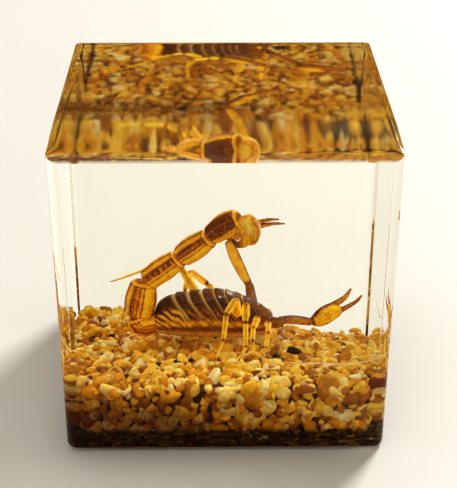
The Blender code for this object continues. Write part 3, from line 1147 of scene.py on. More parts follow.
@dataclass
class PourMarks:
    """What the pour left in the resin: a thin seam near the front right wall, and a few small bubbles."""

    seam: tuple[Station, ...] = (
        (6.8, -20.1, 14.9, 0.03), (9.0, -20.15, 14.7, 0.06), (13.0, -20.15, 14.55, 0.09),
        (17.0, -20.15, 14.5, 0.1), (19.4, -20.1, 14.9, 0.1), (21.2, -19.8, 15.5, 0.09),
        (22.0, -18.6, 15.9, 0.08), (22.1, -14.0, 16.0, 0.07), (22.1, -6.0, 16.1, 0.06),
        (22.1, 3.0, 16.1, 0.03),
    )
    # The bubbles' places and radii.
    bubbles: tuple[Station, ...] = (
        (19.4, -17.0, 25.2, 0.12), (19.6, -16.0, 24.2, 0.09), (19.1, -17.5, 23.7, 0.08),
        (-14.0, -14.0, 23.3, 0.1), (5.6, -6.0, 22.3, 0.08), (7.9, -4.0, 21.0, 0.06),
        (-1.0, -12.0, 19.6, 0.07),
    )

    def build(self, finishes: Finishes) -> list[bpy.types.Object]:
        """Make the seam and the bubbles.

        Args:
            finishes: the materials.

        Returns:
            The two pieces.
        """
        seam = Sweep(self.seam, side=(0.0, 0.0, 1.0), rings=60, sides=8).build()
        beads = Shape.joined([bead(bubble) for bubble in self.bubbles])
        pieces = [
            seam.as_object("pour_seam", finishes.seam),
            beads.as_object("resin_bubbles", finishes.seam),
        ]
        for piece in pieces:
            attach(piece, Slot.RESIN, "resin_lower", "resin_upper")
        return pieces


# ------------------------------------------------------------------------------------------- pebble bed


@dataclass
class BedForm:
    """The bed's form: a level slab whose top slopes up to the front and sinks at the back right."""

    half_width: float = 21.7
    reach: tuple[float, float] = (-19.7, 19.7)
    bottom: float = 2.8
    shallowest: float = 2.2
    level: float = 10.03
    forward_rise: float = 0.049
    # The hollow at the back right and the bank at the back left: where each starts and is in full.
    hollow_depth: float = 5.1
    hollow_x: tuple[float, float] = (-6.0, 26.0)
    hollow_y: tuple[float, float] = (-0.3, 16.8)
    bank_height: float = 1.0
    bank_x: tuple[float, float] = (-2.0, -20.0)
    bank_y: tuple[float, float] = (-2.3, 10.8)
    # The fall towards the back wall.
    back_fall: float = 0.36
    back_fall_from: float = 16.8
    lump_height: float = 0.3
    # How far behind the front wall the bed starts to round off.
    brink_width: float = 3.0
    brink_drop: float = 0.9
    # How far the bed's front corners are drawn in, and how far back that starts.
    corner_taper: float = 3.2
    corner_reach: float = 6.0
    stride: float = 1.0

    def top(self, x: np.ndarray, y: np.ndarray) -> np.ndarray:
        """The height of the bed's top.

        Args:
            x: places across.
            y: places front to back.

        Returns:
            Heights in millimetres.
        """
        hollow = step_up(x, *self.hollow_x) * step_up(y, *self.hollow_y)
        bank = step_up(x, *self.bank_x) * step_up(y, *self.bank_y)
        fall = self.forward_rise * y + self.back_fall * np.maximum(y - self.back_fall_from, 0.0)
        lumps = self.lump_height * np.sin(0.9 * x + 1.3 * np.sin(0.6 * y)) * np.sin(0.8 * y + 0.5 * x)
        near = np.clip((self.reach[0] + self.brink_width - y) / self.brink_width, 0.0, 1.0)
        brink = self.brink_drop * near**2
        top = self.level - fall - self.hollow_depth * hollow + self.bank_height * bank - brink
        return np.maximum(top, self.bottom + self.shallowest) + lumps

    def skin(self, name: str, inset: float) -> bpy.types.Mesh:
        """The bed's closed skin, drawn in by an inset.

        Args:
            name: the mesh's name.
            inset: how far inside the bed's form it lies.

        Returns:
            The mesh, in metres.
        """
        across = self.half_width - inset
        front, back = self.reach[0] + inset, self.reach[1] - inset
        columns, rows = int(2 * across / self.stride), int((back - front) / self.stride)
        x, y = np.meshgrid(np.linspace(-across, across, columns + 1), np.linspace(front, back, rows + 1))
        near = np.maximum((self.reach[0] + self.corner_reach - y) / self.corner_reach, 0.0)
        drawn_in = 1.0 - self.corner_taper * near**2 / self.half_width
        points = np.stack([x * drawn_in, y, self.top(x, y) - inset], axis=-1).reshape(-1, 3)
        grid = np.arange(len(points)).reshape(x.shape)
        squares = np.stack([grid[:-1, :-1], grid[:-1, 1:], grid[1:, 1:], grid[1:, :-1]], axis=-1)
        rim = np.concatenate([grid[0, :-1], grid[:-1, -1], grid[-1, :0:-1], grid[:0:-1, 0]])
        feet = len(points) + np.arange(len(rim))
        walls = np.stack([rim, feet, np.roll(feet, -1), np.roll(rim, -1)], axis=-1)
        floor = points[rim] * (1.0, 1.0, 0.0) + (0.0, 0.0, self.bottom + inset)
        mesh = bpy.data.meshes.new(name)
        faces = [*squares.reshape(-1, 4).tolist(), *walls.tolist(), feet[::-1].tolist()]
        mesh.from_pydata((np.concatenate([points, floor]) * MM).tolist(), [], faces)
        return mesh


@dataclass(frozen=True)
class GrainGrade:
    """One size of pebble, how thickly it lies and how deep it is set, in millimetres."""

    name: str
    length: float
    spacing: float
    sink: float
    seed: int


GRADES = (
    GrainGrade("pebbles_large", 3.5, 2.4, 0.95, 3),
    GrainGrade("pebbles_medium", 2.3, 1.55, 0.65, 8),
    GrainGrade("pebbles_small", 1.7, 1.34, 0.48, 21),
)


class ScatterInput(Enum):
    """The scatter tree's named inputs and their kinds."""

    SKIN = ("Geometry", "Geometry")
    SPACING = ("Spacing", "Float")
    LENGTH = ("Length", "Float")
    SINK = ("Sink", "Float")
    LOW = ("Low", "Vector")
    HIGH = ("High", "Vector")
    SEED = ("Seed", "Int")
    FINISH = ("Finish", "Material")


class ScatterSheet(NodeSheet):
    """A scatter tree that is being filled, with its named inputs and the draws from its seed."""

    def __init__(self, name: str) -> None:
        """Start the tree of that name, with its inputs and its output."""
        super().__init__(bpy.data.node_groups.new(name, "GeometryNodeTree"))
        for label, kind in (entry.value for entry in ScatterInput):
            self.tree.interface.new_socket(label, in_out="INPUT", socket_type="NodeSocket" + kind)
        self.tree.interface.new_socket("Geometry", in_out="OUTPUT", socket_type="NodeSocketGeometry")
        self.inputs = self.add("NodeGroupInput").outputs

    def given(self, entry: ScatterInput) -> bpy.types.NodeSocket:
        """One of the tree's inputs."""
        return self.inputs[entry.value[0]]

    def draw(
        self, kind: str, low: object, high: object, salt: int, seeded: bool = True
    ) -> bpy.types.NodeSocket:
        """A random value for each point or instance.

        Args:
            kind: FLOAT, INT or FLOAT_VECTOR.
            low: the least value.
            high: the greatest value.
            salt: what keeps this draw apart from the others.
            seeded: whether the tree's seed counts too.

        Returns:
            The value.
        """
        seed = self.math("ADD", self.given(ScatterInput.SEED), float(salt)) if seeded else salt
        values = {"Min": low, "Max": high, "Seed": seed}
        node = self.add("FunctionNodeRandomValue", values, data_type=kind)
        return next(entry for entry in node.outputs if entry.enabled)


@dataclass
class PebbleScatter:
    """The Geometry Nodes tree that strews pebbles over a skin."""

    forms: int = 9
    first_form: int = 100
    corners: int = 12
    flatness: Triple = (1.0, 0.78, 0.62)
    # A form's size against its grade's length, and the most points on a square metre.
    plumpness: float = 0.68
    densest: float = 4.0e6
    # How much the pebbles of a grade differ in size and in shape.
    sizes: tuple[float, float] = (0.8, 1.25)
    stretches: tuple[float, float] = (0.8, 1.15)

    def tree(self) -> bpy.types.NodeTree:
        """Build the tree.

        Returns:
            The tree: points on the skin, a pebble form on each, its tone, all realized.
        """
        sheet = ScatterSheet("strew pebbles")
        given, draw = sheet.given, sheet.draw
        values = {
            "Mesh": given(ScatterInput.SKIN), "Distance Min": given(ScatterInput.SPACING),
            "Density Max": self.densest, "Seed": given(ScatterInput.SEED),
        }
        strewn = sheet.add("GeometryNodeDistributePointsOnFaces", values, distribute_method="POISSON").outputs
        sink = sheet.math("MULTIPLY", given(ScatterInput.SINK), -1.0)
        inward = sheet.vector("SCALE", strewn["Normal"], sink)
        settled = sheet.read("GeometryNodeSetPosition", {"Geometry": strewn["Points"], "Offset": inward})
        angles = draw("FLOAT_VECTOR", (0.0,) * 3, (math.tau,) * 3, 2)
        length = sheet.math("MULTIPLY", given(ScatterInput.LENGTH), draw("FLOAT", *self.sizes, 3))
        stretch = draw("FLOAT_VECTOR", *((value,) * 3 for value in self.stretches), 4)
        placed = sheet.read("GeometryNodeInstanceOnPoints", {
            "Points": settled, "Instance": self._forms(sheet), "Pick Instance": True,
            "Instance Index": draw("INT", 0, self.forms - 1, 1),
            "Rotation": sheet.read("FunctionNodeEulerToRotation", {0: angles}),
            "Scale": sheet.vector("SCALE", stretch, length),
        })
        values = {"Geometry": placed, "Name": "tone", "Value": draw("FLOAT", 0.0, 1.0, 5)}
        toned = sheet.read("GeometryNodeStoreNamedAttribute", values, data_type="FLOAT", domain="INSTANCE")
        real = sheet.read("GeometryNodeRealizeInstances", {"Geometry": toned})
        above = sheet.vector("MAXIMUM", sheet.read("GeometryNodeInputPosition"), given(ScatterInput.LOW))
        kept_in = sheet.vector("MINIMUM", above, given(ScatterInput.HIGH))
        pressed = sheet.read("GeometryNodeSetPosition", {"Geometry": real, "Position": kept_in})
        smooth = sheet.read("GeometryNodeSetShadeSmooth", {"Geometry": pressed})
        values = {"Geometry": smooth, "Material": given(ScatterInput.FINISH)}
        sheet.add("NodeGroupOutput", {0: sheet.read("GeometryNodeSetMaterial", values)})
        return sheet.tree

    def _forms(self, sheet: ScatterSheet) -> bpy.types.NodeSocket:
        """A set of pebble forms of length 1: hulls of a few random corners, rounded once.

        Args:
            sheet: the tree's sheet.

        Returns:
            The forms, an instance each.
        """
        gathered = sheet.add("GeometryNodeJoinGeometry")
        half_size = tuple(self.plumpness * share for share in self.flatness)
        for form in range(self.forms):
            corner = sheet.draw("FLOAT_VECTOR", (-1.0,) * 3, (1.0,) * 3, self.first_form + form, seeded=False)
            shaped = sheet.vector("MULTIPLY", sheet.vector("NORMALIZE", corner), half_size)
            cloud = sheet.read("GeometryNodePoints", {"Count": self.corners, "Position": shaped})
            hull = sheet.read("GeometryNodeConvexHull", {"Geometry": cloud})
            rounded = sheet.read("GeometryNodeSubdivisionSurface", {"Mesh": hull, "Level": 1})
            sheet.feed(gathered, {0: sheet.read("GeometryNodeGeometryToInstance", {0: rounded})})
        return gathered.outputs[0]


@dataclass
class PebbleBed:
    """The loose pebbles over the bed's form, and the sheet painted dark as the shade between them."""

    form: BedForm = field(default_factory=BedForm)
    grades: tuple[GrainGrade, ...] = GRADES
    grit_inset: float = 0.75
    # The walls that the pebbles were pressed against.
    wall_low: Triple = (-22.2, -20.3, 2.7)
    wall_high: Triple = (22.2, 20.3, 12.6)

    def _strewn(
        self, grade: GrainGrade, tree: bpy.types.NodeTree, finish: bpy.types.Material
    ) -> bpy.types.Object:
        """Strew one grade of pebbles and make them a plain mesh.

        Args:
            grade: the pebbles' size and spacing.
            tree: the scatter tree.
            finish: their material.

        Returns:
            The object.
        """
        skin = self.form.skin(grade.name + "_skin", 0.0)
        carrier = in_scene(skin.name, skin)
        modifier = carrier.modifiers.new("strew", "NODES")
        modifier.node_group = tree
        values = {
            ScatterInput.SPACING: grade.spacing * MM,
            ScatterInput.LENGTH: grade.length * MM,
            ScatterInput.SINK: grade.sink * MM,
            ScatterInput.LOW: Vector(self.wall_low) * MM,
            ScatterInput.HIGH: Vector(self.wall_high) * MM,
            ScatterInput.SEED: grade.seed,
            ScatterInput.FINISH: finish,
        }
        for entry, value in values.items():
            modifier[tree.interface.items_tree[entry.value[0]].identifier] = value
        graph = bpy.context.evaluated_depsgraph_get()
        mesh = bpy.data.meshes.new_from_object(carrier.evaluated_get(graph), depsgraph=graph)
        mesh.name = grade.name
        carrier.modifiers.remove(modifier)
        bpy.data.objects.remove(carrier)
        return in_scene(grade.name, mesh)

    def build(self, finishes: Finishes) -> list[bpy.types.Object]:
        """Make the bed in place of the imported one.

        Args:
            finishes: the materials.

        Returns:
            The pieces.
        """
        tree = PebbleScatter().tree()
        pieces = [self._strewn(grade, tree, finishes.pebble) for grade in self.grades]
        # A sheet under the pebbles, painted dark as the shade between them.
        grit = self.form.skin("grit", self.grit_inset)
        grit.materials.append(finishes.grit)
        pieces.append(in_scene("grit", grit))
        for piece in pieces:
            attach(piece, Slot.PEBBLES, "gravel_bed")
        return pieces


# --------------------------------------------------------------------------------------------- specimen


@dataclass
class Trunk:
    """The body: a head shield in front, then seven back plates whose hind edges lie over the next."""

    middle: float = 1.8
    # Stations from tail to head: x, centre height, half width, half height.
    stations: tuple[Station, ...] = (
        (-10.35, 13.65, 1.3, 1.2),
        (-9.85, 13.75, 2.4, 2.15),
        (-8.95, 14.05, 3.1, 2.85),
        (-7.55, 14.35, 3.7, 3.35),
        (-5.55, 14.45, 4.1, 3.65),
        (-3.2, 14.55, 4.3, 3.85),
        (-0.6, 14.55, 4.3, 3.95),
        (1.4, 14.25, 4.1, 3.75),
        (3.15, 13.95, 3.7, 3.35),
        (4.6, 13.7, 3.3, 2.7),
        (5.7, 13.5, 2.8, 2.15),
        (6.6, 13.35, 2.3, 1.6),
        (7.2, 13.25, 1.6, 1.0),
    )
    shield_back: float = 2.6
    # The back plates' lengths, from the head shield to the tail.
    plate_lengths: tuple[float, ...] = (1.15, 1.35, 1.55, 1.7, 1.9, 2.05, 2.3)
    # How far their edges bow back to the sides, and where they end, in degrees from the top.
    plate_bow: float = 2.6
    plate_side: float = 82.0
    # How far each plate's hind edge stands out, and how wide the membrane behind it shows.
    lip: float = 0.16
    membrane: float = 0.3
    # How far the round ends at the tail and at the head reach in.
    end_reach: tuple[float, float] = (0.5, 0.4)
    rings: int = 240
    sides: int = 96

    def plate_place(self, x: np.ndarray, turn: np.ndarray) -> tuple[np.ndarray, np.ndarray]:
        """Where a point lies on its back plate.

        Args:
            x: places along the trunk.
            turn: degrees from the top, either way.

        Returns:
            The share of the way from the plate's front edge to its hind edge, and the distance to the
            hind edge in front of it, both beyond their range on the head shield.
        """
        bowed = x - self.plate_bow * (1.0 - np.cos(np.radians(np.minimum(turn, 110.0))))
        edges = self.shield_back - np.concatenate([[0.0], np.cumsum(self.plate_lengths)])
        which = np.clip(np.searchsorted(-edges, -bowed, side="right") - 1, 0, len(self.plate_lengths) - 1)
        front, length = edges[which], np.array(self.plate_lengths)[which]
        return (front - bowed) / length, front - bowed

    def build(self, finishes: Finishes) -> bpy.types.Object:
        """Make the trunk.

        Args:
            finishes: the materials.

        Returns:
            The piece.
        """
        table = np.array(self.stations)
        share = np.linspace(0.0, 1.0, self.rings)
        knots = np.column_stack([table[:, 0], table[:, 0] * 0, table[:, 0] * 0, table[:, 1:]])
        path = smooth_path(knots, share)
        x, height, half_width, half_height = path[:, 0], path[:, 3], path[:, 4], path[:, 5]
        around = np.linspace(-np.pi, np.pi, self.sides, endpoint=False)[None, :]
        turn = np.degrees(np.abs(around))
        relief, marks = self._surface(x[:, None], turn)
        ends = round_end(x - x[0], self.end_reach[0]) * round_end(x[-1] - x, self.end_reach[1])
        belly = 1.0 - 0.10 * window(turn, 130.0, 180.0, 20.0)
        grow = (1.0 + relief / half_height[:, None]) * ends[:, None]
        y = self.middle - half_width[:, None] * grow * np.sin(around)
        z = height[:, None] + half_height[:, None] * grow * belly * np.cos(around)
        points = np.stack([np.broadcast_to(x[:, None], y.shape), y, z], axis=-1)
        trunk = closed_rings(points, marks | grain_marks(around, x[:, None]))
        return trunk.as_object("scorpion_trunk", finishes.shell[Look.TRUNK])

    def _surface(self, x: np.ndarray, turn: np.ndarray) -> tuple[np.ndarray, Marks]:
        """The trunk's relief and tones.

        Args:
            x: places along the trunk.
            turn: degrees from the top.

        Returns:
            How far each point stands out in millimetres, and its marks.
        """
        share, behind = self.plate_place(x, turn)
        on_back = 1.0 - step_up(turn, self.plate_side - 6.0, self.plate_side + 6.0)
        abdomen = 1.0 - step_up(x, self.shield_back - 0.1, self.shield_back + 0.3)
        rearward = step_up(-x, -2.0, 8.0)
        rise = self.lip * np.clip(share, 0.0, 1.0) ** 1.5
        width = self.membrane * (0.7 + 1.1 * rearward)
        gap = bump(behind, 0.5 * width, 0.6 * width)
        folds = 0.05 * np.sin(2.0 * np.pi * 3.0 * share) * window(turn, 70.0, 112.0, 8.0)
        plates = (rise - 0.12 * gap) * on_back * abdomen
        flank_dip = -0.18 * bump(turn, self.plate_side + 8.0, 7.0) * abdomen
        relief = plates + folds * abdomen + self._shield(x, turn) + flank_dip
        wander = turn + 14.0 * np.sin(1.7 * x) + 9.0 * np.sin(2.9 * x + 1.0)
        streaks = 0.5 + 0.5 * np.cos(2.0 * np.pi * (2.0 * share + wander / 64.0))
        low_back = window(turn, 56.0, 84.0, 8.0)
        tone = 0.9 * on_back - 0.45 * low_back * streaks * abdomen
        tone = tone - 0.2 * on_back * step_up(x, 3.5, 5.5)
        crescent = bump(turn, 91.0 + 3.0 * np.sin(2.1 * x), 4.5) * bump(share, 0.35, 0.28)
        fold = window(turn, 98.0, 112.0, 5.0)
        belly = bump(turn, 128.0, 13.0)
        under = step_up(turn, 145.0, 170.0)
        flank = (1.0 - on_back) * (0.34 + 0.34 * fold - 0.5 * crescent - 0.12 * belly + 0.4 * under)
        # Painted light: golden patches on the rear flank, where light shines through the membrane, broken up
        # by the streaks.
        rear = bump(x, -7.9, 1.9) * window(turn, 54.0, 100.0, 12.0)
        dark = np.clip(tone + flank - 1.1 * rear * step_up(streaks, 0.3, 0.55), 0.0, 1.0)
        band = gap * on_back * abdomen * (1.0 - 0.75 * step_up(turn, 45.0, 85.0) * (1.0 - rearward))
        soft_belly = 0.35 * belly * (1.0 - on_back)
        return relief, {"dark": dark, "pale_and_highlight": np.clip(0.9 * band + soft_belly, 0.0, 1.0)}

    def _shield(self, x: np.ndarray, turn: np.ndarray) -> np.ndarray:
        """The head shield's relief: a middle furrow, an eye mound and coarse grains."""
        on = step_up(x, self.shield_back, self.shield_back + 0.5) * (1.0 - step_up(turn, 70.0, 84.0))
        furrow = -0.10 * bump(turn, 0.0, 6.0)
        mound = 0.16 * bump(x, 5.3, 0.5) * bump(turn, 9.0, 8.0)
        grains = 0.03 * np.sin(9.0 * x) * np.sin(np.radians(turn) * 17.0)
        return on * (furrow + mound + grains)


@dataclass(frozen=True)
class TailSegment:
    """One ring of the tail, with its lengthwise keels and the dark groove between two of them."""

    stations: tuple[Station, ...]
    # Where the keels and the groove run, in degrees from the outer side, either way.
    keels: tuple[float, ...] = (12.0, 48.0, 92.0, 146.0)
    groove: tuple[float, float] = (54.0, 86.0)
    groove_dark: float = 0.6
    # How many cross ridges the groove has, and whether one dark panel takes its place.
    ticks: int = 0
    panel: bool = False

    def relief(self, around: np.ndarray, along: np.ndarray) -> np.ndarray:
        """The keels, the groove, the square shoulders and the flared hind rim.

        Args:
            around: angles round the segment.
            along: shares of its length.

        Returns:
            A factor on the radius.
        """
        turn = np.degrees(np.abs(around))
        ridge = sum(bump(turn, keel, 5.0) for keel in self.keels)
        beads = 0.8 + 0.2 * np.cos(2.0 * np.pi * 11.0 * along)
        inside = window(along, 0.10, 0.94, 0.04)
        trough = window(turn, *self.groove, 6.0)
        cross = 0.02 * np.cos(2.0 * np.pi * self.ticks * along) * trough if self.ticks else 0.0
        shoulders = 0.09 * (bump(along, 0.14, 0.07) + bump(along, 0.88, 0.07)) - 0.03
        rim = 0.05 * bump(along, 0.95, 0.03) - 0.15 * bump(along, 0.02, 0.05)
        return 1.0 + inside * (0.08 * ridge * beads - 0.05 * trough + cross) + shoulders + rim

    def marks(self, around: np.ndarray, along: np.ndarray) -> Marks:
        """The segment's tones.

        Args:
            around: angles round the segment.
            along: shares of its length.

        Returns:
            How dark and how pale each point is.
        """
        turn = np.degrees(np.abs(around))
        inside = window(along, 0.12, 0.92, 0.03)
        lines = sum(bump(turn, keel + 5.0, 3.2) for keel in self.keels)
        groove = window(turn, *self.groove, 4.0) * self.groove_dark
        groove = groove - 0.35 * bump(turn, 70.0, 4.0) * (not self.ticks)
        if self.panel:
            groove = window(turn, 16.0, 104.0, 5.0) * 0.78 - 0.45 * bump(turn, 60.0, 3.0)
        ticks = bump(np.cos(2.0 * np.pi * self.ticks * along), 1.0, 0.5) if self.ticks else 0.0
        outer = 0.22 - 0.14 * step_up(turn, 60.0, 100.0) + 0.5 * step_up(turn, 128.0, 160.0)
        dark = inside * np.maximum(groove - 0.6 * ticks * groove, 0.75 * lines) + outer
        dark = dark + 0.6 * bump(along, 0.08, 0.03) + 0.6 * bump(along, 0.985, 0.02)
        dark = dark + 0.5 * bump(along, 0.9, 0.012)
        # The pale line near the hind rim is the shell's own colour; the pale streak at 112 degrees round is a
        # painted highlight.
        pale_and_highlight = 0.45 * bump(along, 0.94, 0.012) + 0.35 * inside * bump(turn, 112.0, 6.0)
        return tones(around, along, dark, pale_and_highlight)

    def build(self) -> Shape:
        """Make the segment."""
        sweep = Sweep(self.stations, rings=84, sides=96, rounding=0.4, relief=self.relief, marks=self.marks)
        return sweep.build()


@dataclass
class Tail:
    """The five tail segments, curled up over the trunk and leaning to the front as they rise."""

    segments: tuple[TailSegment, ...] = (
        TailSegment((
            (-8.95, 1.8, 13.55, 1.5), (-10.55, 1.8, 13.15, 1.85), (-12.1, 1.5, 13.25, 2.0),
            (-12.9, 1.3, 14.55, 1.6),
        ), groove_dark=0.4),
        TailSegment((
            (-12.6, 1.3, 14.35, 1.65), (-12.3, 1.2, 15.8, 2.15), (-11.8, 1.05, 18.45, 2.2),
            (-11.45, 0.9, 20.55, 1.5),
        ), groove_dark=0.45),
        TailSegment((
            (-11.25, 0.8, 20.35, 1.4), (-9.85, 0.4, 21.6, 1.75), (-7.85, -0.2, 23.3, 1.78),
            (-6.15, -0.7, 24.75, 1.25),
        ), ticks=7),
        TailSegment((
            (-6.45, -0.7, 24.55, 1.25), (-5.15, -1.25, 25.75, 1.78), (-3.4, -2.05, 27.3, 1.8),
            (-1.8, -2.85, 28.8, 1.2),
        )),
        TailSegment((
            (-2.1, -2.85, 28.6, 1.2), (-0.8, -3.45, 29.85, 1.75), (0.9, -4.1, 31.15, 1.9),
            (2.25, -4.6, 31.95, 1.3),
        ), keels=(10.0, 60.0, 108.0), panel=True),
    )

    def build(self, finishes: Finishes) -> bpy.types.Object:
        """Make the tail."""
        shape = Shape.joined([segment.build() for segment in self.segments])
        return shape.as_object("scorpion_tail", finishes.shell[Look.TAIL])


@dataclass
class Sting:
    """The poison bulb and its curved point."""

    bulb: tuple[Station, ...] = (
        (1.85, -4.5, 32.0, 0.95), (2.6, -4.7, 31.35, 1.7), (3.1, -4.95, 30.35, 1.9),
        (3.15, -5.05, 29.2, 1.5), (2.65, -5.05, 28.35, 0.95),
    )
    point: tuple[Station, ...] = (
        (3.0, -5.05, 29.0, 0.95), (2.4, -5.05, 28.35, 0.7), (1.75, -5.05, 28.2, 0.48),
        (1.3, -5.05, 28.5, 0.28), (1.15, -5.05, 29.05, 0.1),
    )

    @staticmethod
    def _bulb_marks(around: np.ndarray, along: np.ndarray) -> Marks:
        """The bulb is darkest underneath and along two lines, and bright where light falls through it."""
        turn = np.degrees(np.abs(around))
        lines = bump(turn, 40.0, 4.0) + bump(turn, 122.0, 5.0)
        dark = 0.15 + 0.45 * lines * window(along, 0.1, 0.9, 0.1) + 0.6 * step_up(turn, 130.0, 165.0)
        pale_and_highlight = 0.6 * bump(turn, 72.0, 9.0) * window(along, 0.15, 0.55, 0.06)
        return tones(around, along, dark + 0.4 * bump(along, 0.0, 0.06), pale_and_highlight)

    @staticmethod
    def _point_marks(around: np.ndarray, along: np.ndarray) -> Marks:
        """The point darkens to its tip."""
        return tones(around, along, 0.15 + 0.65 * step_up(along, 0.15, 0.7))

    def build(self, finishes: Finishes) -> bpy.types.Object:
        """Make the sting.

        Args:
            finishes: the materials.

        Returns:
            The piece.
        """
        parts = [
            Sweep(self.bulb, rounding=0.9, rings=48, sides=48, marks=self._bulb_marks).build(),
            Sweep(self.point, rings=48, sides=24, marks=self._point_marks).build(),
        ]
        return Shape.joined(parts).as_object("scorpion_sting", finishes.shell[Look.STING])


@dataclass(frozen=True)
class ArmPart:
    """One part of a pincer arm, with darker keels along its upper and lower edges."""

    stations: tuple[Station, ...]
    edge_dark: float = 0.6
    core_dark: float = 0.15
    end_dark: float = 0.5

    def relief(self, around: np.ndarray, along: np.ndarray) -> np.ndarray:
        """Keels along the part.

        Args:
            around: angles round it.
            along: shares of its length.

        Returns:
            A factor on the radius.
        """
        turn = np.degrees(np.abs(around))
        ridge = sum(bump(turn, keel, 9.0) for keel in (0.0, 60.0, 120.0, 180.0))
        return 1.0 + window(along, 0.12, 0.9, 0.08) * (0.07 * ridge - 0.02)

    def marks(self, around: np.ndarray, along: np.ndarray) -> Marks:
        """Darker keels and ends.

        Args:
            around: angles round it.
            along: shares of its length.

        Returns:
            How dark and how pale each point is.
        """
        turn = np.degrees(np.abs(around))
        edges = bump(turn, 0.0, 32.0) + bump(turn, 180.0, 32.0)
        ends = self.end_dark * (bump(along, 0.03, 0.05) + bump(along, 0.97, 0.04))
        return tones(around, along, self.core_dark + self.edge_dark * edges + ends)

    def build(self) -> Shape:
        """Make the part."""
        return Sweep(self.stations, rings=48, sides=40, relief=self.relief, marks=self.marks).build()


@dataclass(frozen=True)
class Pincer:
    """A pincer arm: upper arm, forearm, hand and the two fingers."""

    name: str
    upper_arm: tuple[Station, ...]
    forearm: tuple[Station, ...]
    hand: tuple[Station, ...]
    fixed_finger: tuple[Station, ...]
    moving_finger: tuple[Station, ...]
    forearm_dark: float = 0.1
    # Where a finger's teeth start and end, as shares of its length, and how many there are.
    tooth_row: tuple[float, float, int] = (0.25, 0.85, 6)
    # A tooth's foot, length and radius, as shares of the finger's radius.
    tooth: Triple = (0.7, 0.75, 0.4)

    def _teeth(self) -> list[Shape]:
        """Small teeth along the edges where the two fingers meet."""
        teeth = []
        pair = (self.fixed_finger, self.moving_finger)
        places = np.linspace(*self.tooth_row)
        foot_out, length, radius = self.tooth
        for finger, other in (pair, pair[::-1]):
            rows, facing = smooth_path(np.array(finger), places), smooth_path(np.array(other), places)
            for row, opposite in zip(rows, facing):
                aim = unit(opposite[:3] - row[:3])
                foot = row[:3] + foot_out * row[3] * aim
                teeth.append(spike(tuple(foot), tuple(foot + length * row[3] * aim), radius * row[3]))
        return teeth

    def build(self, finishes: Finishes) -> list[bpy.types.Object]:
        """Make the arm and the hand.

        Args:
            finishes: the materials.

        Returns:
            The two pieces.
        """
        upper = ArmPart(self.upper_arm, core_dark=0.7)
        fore = ArmPart(self.forearm, core_dark=self.forearm_dark)
        arm = Shape.joined([upper.build(), fore.build()])
        tips = (self.fixed_finger, self.moving_finger)
        fingers = [ArmPart(finger, core_dark=0.45, end_dark=0.15) for finger in tips]
        palm = ArmPart(self.hand, edge_dark=1.0, core_dark=0.08)
        hand = Shape.joined([part.build() for part in (palm, *fingers)] + self._teeth())
        return [
            arm.as_object(self.name + "_arm", finishes.shell[Look.ARM]),
            hand.as_object(self.name + "_hand", finishes.shell[Look.HAND]),
        ]


PINCERS = (
    Pincer(
        "far_pincer",
        upper_arm=((4.15, 3.45, 15.1, 0.8), (3.65, 8.05, 17.45, 0.6)),
        forearm=(
            (3.65, 8.0, 17.25, 0.55), (2.65, 8.95, 19.05, 0.72), (1.6, 9.8, 21.2, 0.8),
            (0.6, 10.75, 23.75, 0.62),
        ),
        hand=(
            (0.7, 10.7, 23.55, 0.55), (1.8, 11.95, 24.45, 1.05), (3.35, 13.25, 24.95, 1.1),
            (4.85, 14.3, 25.15, 0.6),
        ),
        fixed_finger=((4.35, 13.9, 25.35, 0.42), (6.75, 15.5, 25.55, 0.26), (8.15, 16.3, 25.35, 0.12)),
        moving_finger=((4.35, 13.75, 24.75, 0.42), (7.35, 15.9, 24.75, 0.26), (9.05, 16.9, 24.45, 0.12)),
    ),
    Pincer(
        "near_pincer",
        upper_arm=((6.55, 0.4, 13.95, 0.9), (7.55, 0.4, 13.55, 0.85), (8.55, 1.55, 13.75, 0.7)),
        forearm=((8.15, 1.3, 13.65, 0.6), (9.4, 2.55, 13.3, 0.72), (12.9, 5.7, 11.75, 0.64)),
        hand=(
            (12.85, 5.65, 11.65, 0.55), (14.0, 6.3, 12.0, 1.25), (15.5, 7.05, 12.75, 1.45),
            (17.25, 7.9, 13.4, 1.05),
        ),
        fixed_finger=(
            (15.0, 6.9, 13.45, 0.6), (16.6, 7.75, 14.15, 0.52), (17.95, 8.65, 14.9, 0.38),
            (18.85, 9.45, 16.1, 0.14),
        ),
        moving_finger=(
            (16.5, 7.6, 12.6, 0.5), (18.65, 8.85, 13.35, 0.36), (19.85, 9.5, 14.0, 0.27),
            (20.55, 9.95, 14.8, 0.12),
        ),
        forearm_dark=0.45,
    ),
)


